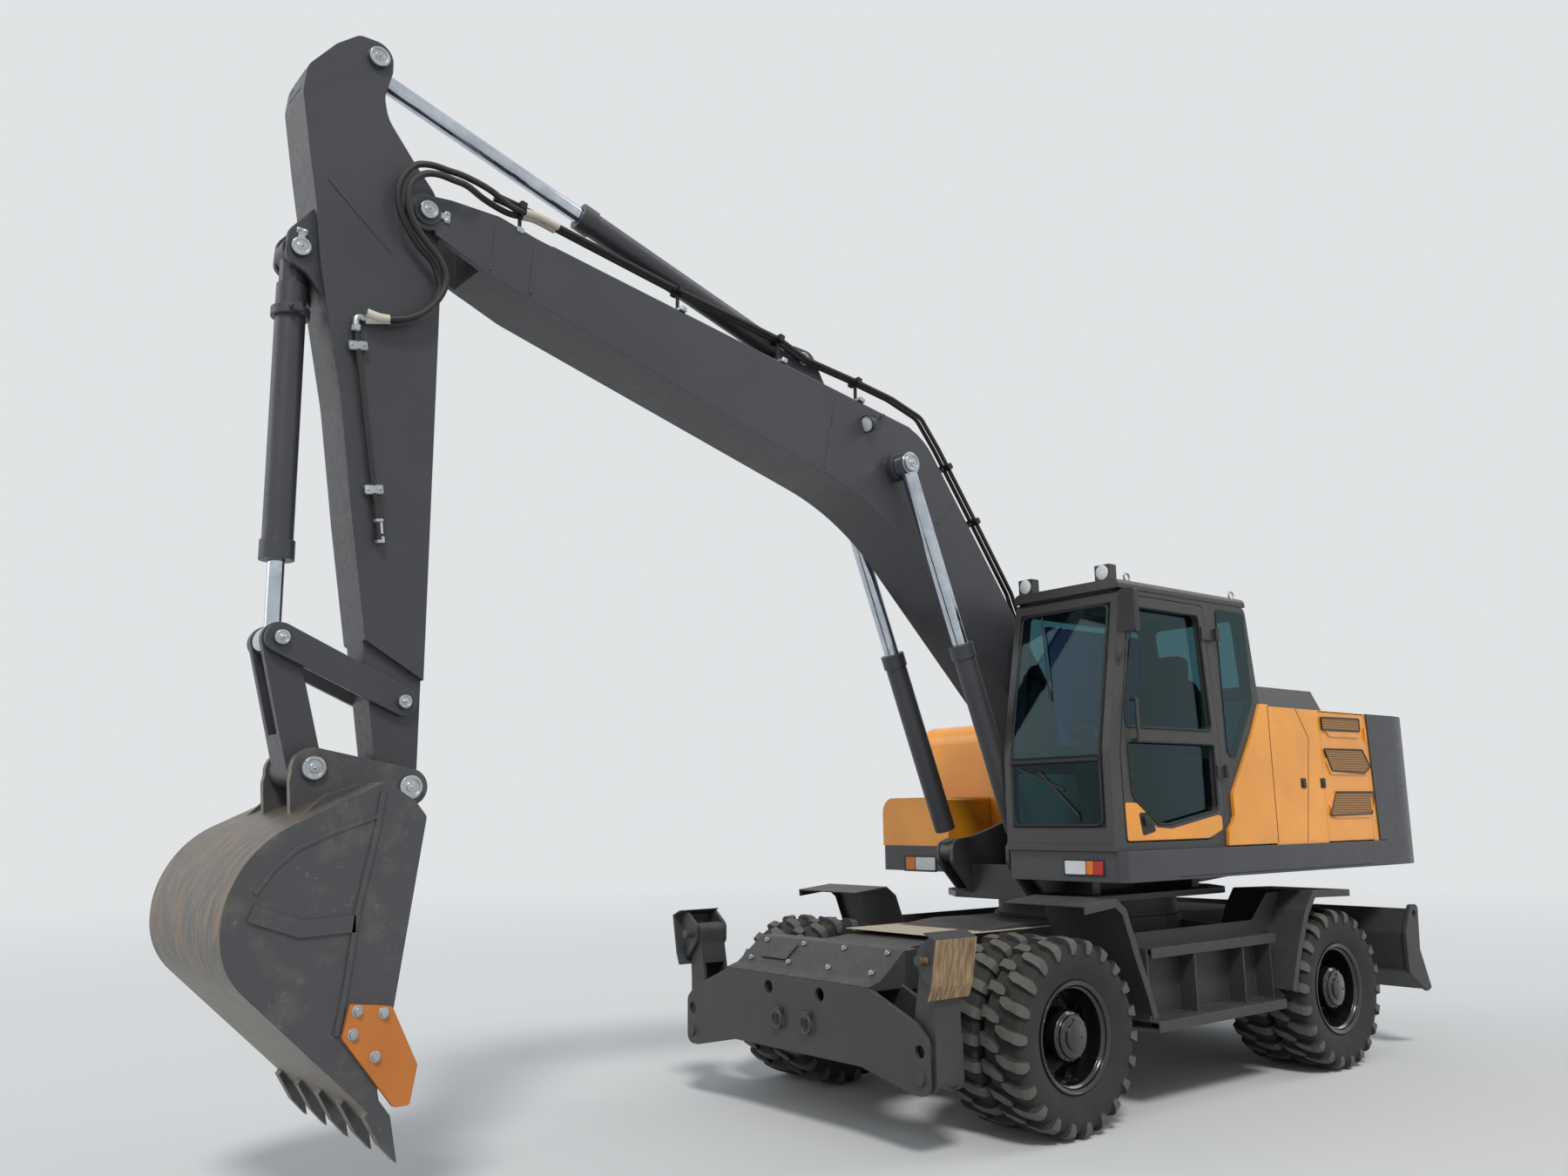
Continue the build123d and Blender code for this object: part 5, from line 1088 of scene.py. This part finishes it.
for index, points in enumerate(HOSES):
    y = (150, 105)[index]
    top = skin("z", 4340, y) - 14
    lead = [
        (4340, y, top), (4470, y, top + 24), (4620, y + 22, 4866 - 16 * index), (4770, y + 55, 4905 - 40 * index),
    ]
    path = curve_points(lead + points, HOSE_POINTS)
    bm = bmesh.new()
    tube(bm, path, 17, 12)
    for start, end in ((0, 9), (112, HOSE_POINTS)):
        tube(bm, path[start:end + 1], 20, 14, True, 1)
    hose = piece(f"hose_{index + 1}", bm, None, ("hose", "sleeve"))
    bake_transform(hose)


# ---------- camera, light and floor
def camera():
    """Stands where the photographer stood, low at the machine's front left."""
    yaw, pitch, roll = math.radians(-128.444), math.radians(10.470), math.radians(-0.700)
    forward = Vector((math.cos(yaw) * math.cos(pitch), math.sin(yaw) * math.cos(pitch), math.sin(pitch)))
    level = Vector((math.sin(yaw), -math.cos(yaw), 0))
    turned = Matrix((level, level.cross(forward), -forward)).transposed() @ Matrix.Rotation(roll, 3, "Z")
    data = bpy.data.cameras.new("camera")
    data.sensor_width = 36
    data.lens = 28.564
    data.shift_x = 0.00387
    data.shift_y = -0.00183
    data.clip_end = 200
    obj = put("camera", data)
    obj.matrix_world = Matrix.Translation(at(7310, 5752, 1722)) @ turned.to_4x4()
    bpy.context.scene.camera = obj


def lamp(name, direction, strength, angle, colour=(1, 1, 1)):
    """Light from a far lamp that stands in the given direction."""
    data = bpy.data.lights.new(name, "SUN")
    data.energy = strength
    data.angle = math.radians(angle)
    data.color = colour
    obj = put(name, data)
    obj.rotation_mode = "QUATERNION"
    obj.rotation_quaternion = Vector(direction).normalized().to_track_quat("Z", "Y")


BACKDROP = linear((225, 227, 229))


def world():
    """A pale grey surround, seen by the camera and in reflections; a soft sky lights the machine."""
    made = bpy.data.worlds.new("studio")
    bpy.context.scene.world = made
    made.use_nodes = True
    tree = made.node_tree
    light = tree.nodes["Background"]
    connect(tree, light, Color=(0.93, 0.97, 1.0, 1), Strength=0.50)
    seen = add(tree, "ShaderNodeBackground", Color=(*BACKDROP, 1), Strength=1.0)
    path = tree.nodes.new("ShaderNodeLightPath")
    first = times(tree, path.outputs["Is Camera Ray"], path.outputs["Is Glossy Ray"], operation="MAXIMUM")
    shown = times(tree, first, path.outputs["Is Transmission Ray"], operation="MAXIMUM")
    show(tree, "World Output", shown, light, seen)


def floor():
    """A round pale floor that keeps the shadow and fades into the backdrop."""
    material, tree, shader = node_material("floor")
    connect(tree, shader, Base_Color=(*(c * 0.80 for c in BACKDROP), 1), Roughness=0.9, Specular_IOR_Level=0.1)
    away = add(tree, "ShaderNodeVectorMath", {"operation": "LENGTH"}, Vector=coordinates(tree))
    far = steps(tree, away.outputs["Value"], 9, 24)
    flat = add(tree, "ShaderNodeEmission", Color=(*BACKDROP, 1), Strength=1.0)
    show(tree, "Material Output", far, shader, flat)
    bm = bmesh.new()
    bmesh.ops.create_circle(bm, cap_ends=True, segments=96, radius=60)
    mesh = bpy.data.meshes.new("floor")
    bm.to_mesh(mesh)
    mesh.materials.append(material)
    put("floor", mesh)


camera()
lamp("key", (0.55, 0.75, 1.1), 1.9, 12, (1.0, 0.98, 0.95))
lamp("fill", (0.9, -0.7, 0.5), 0.5, 40)
lamp("back", (-0.8, 0.3, 0.7), 0.5, 30)
world()
floor()

bpy.context.scene.view_settings.view_transform = "Standard"
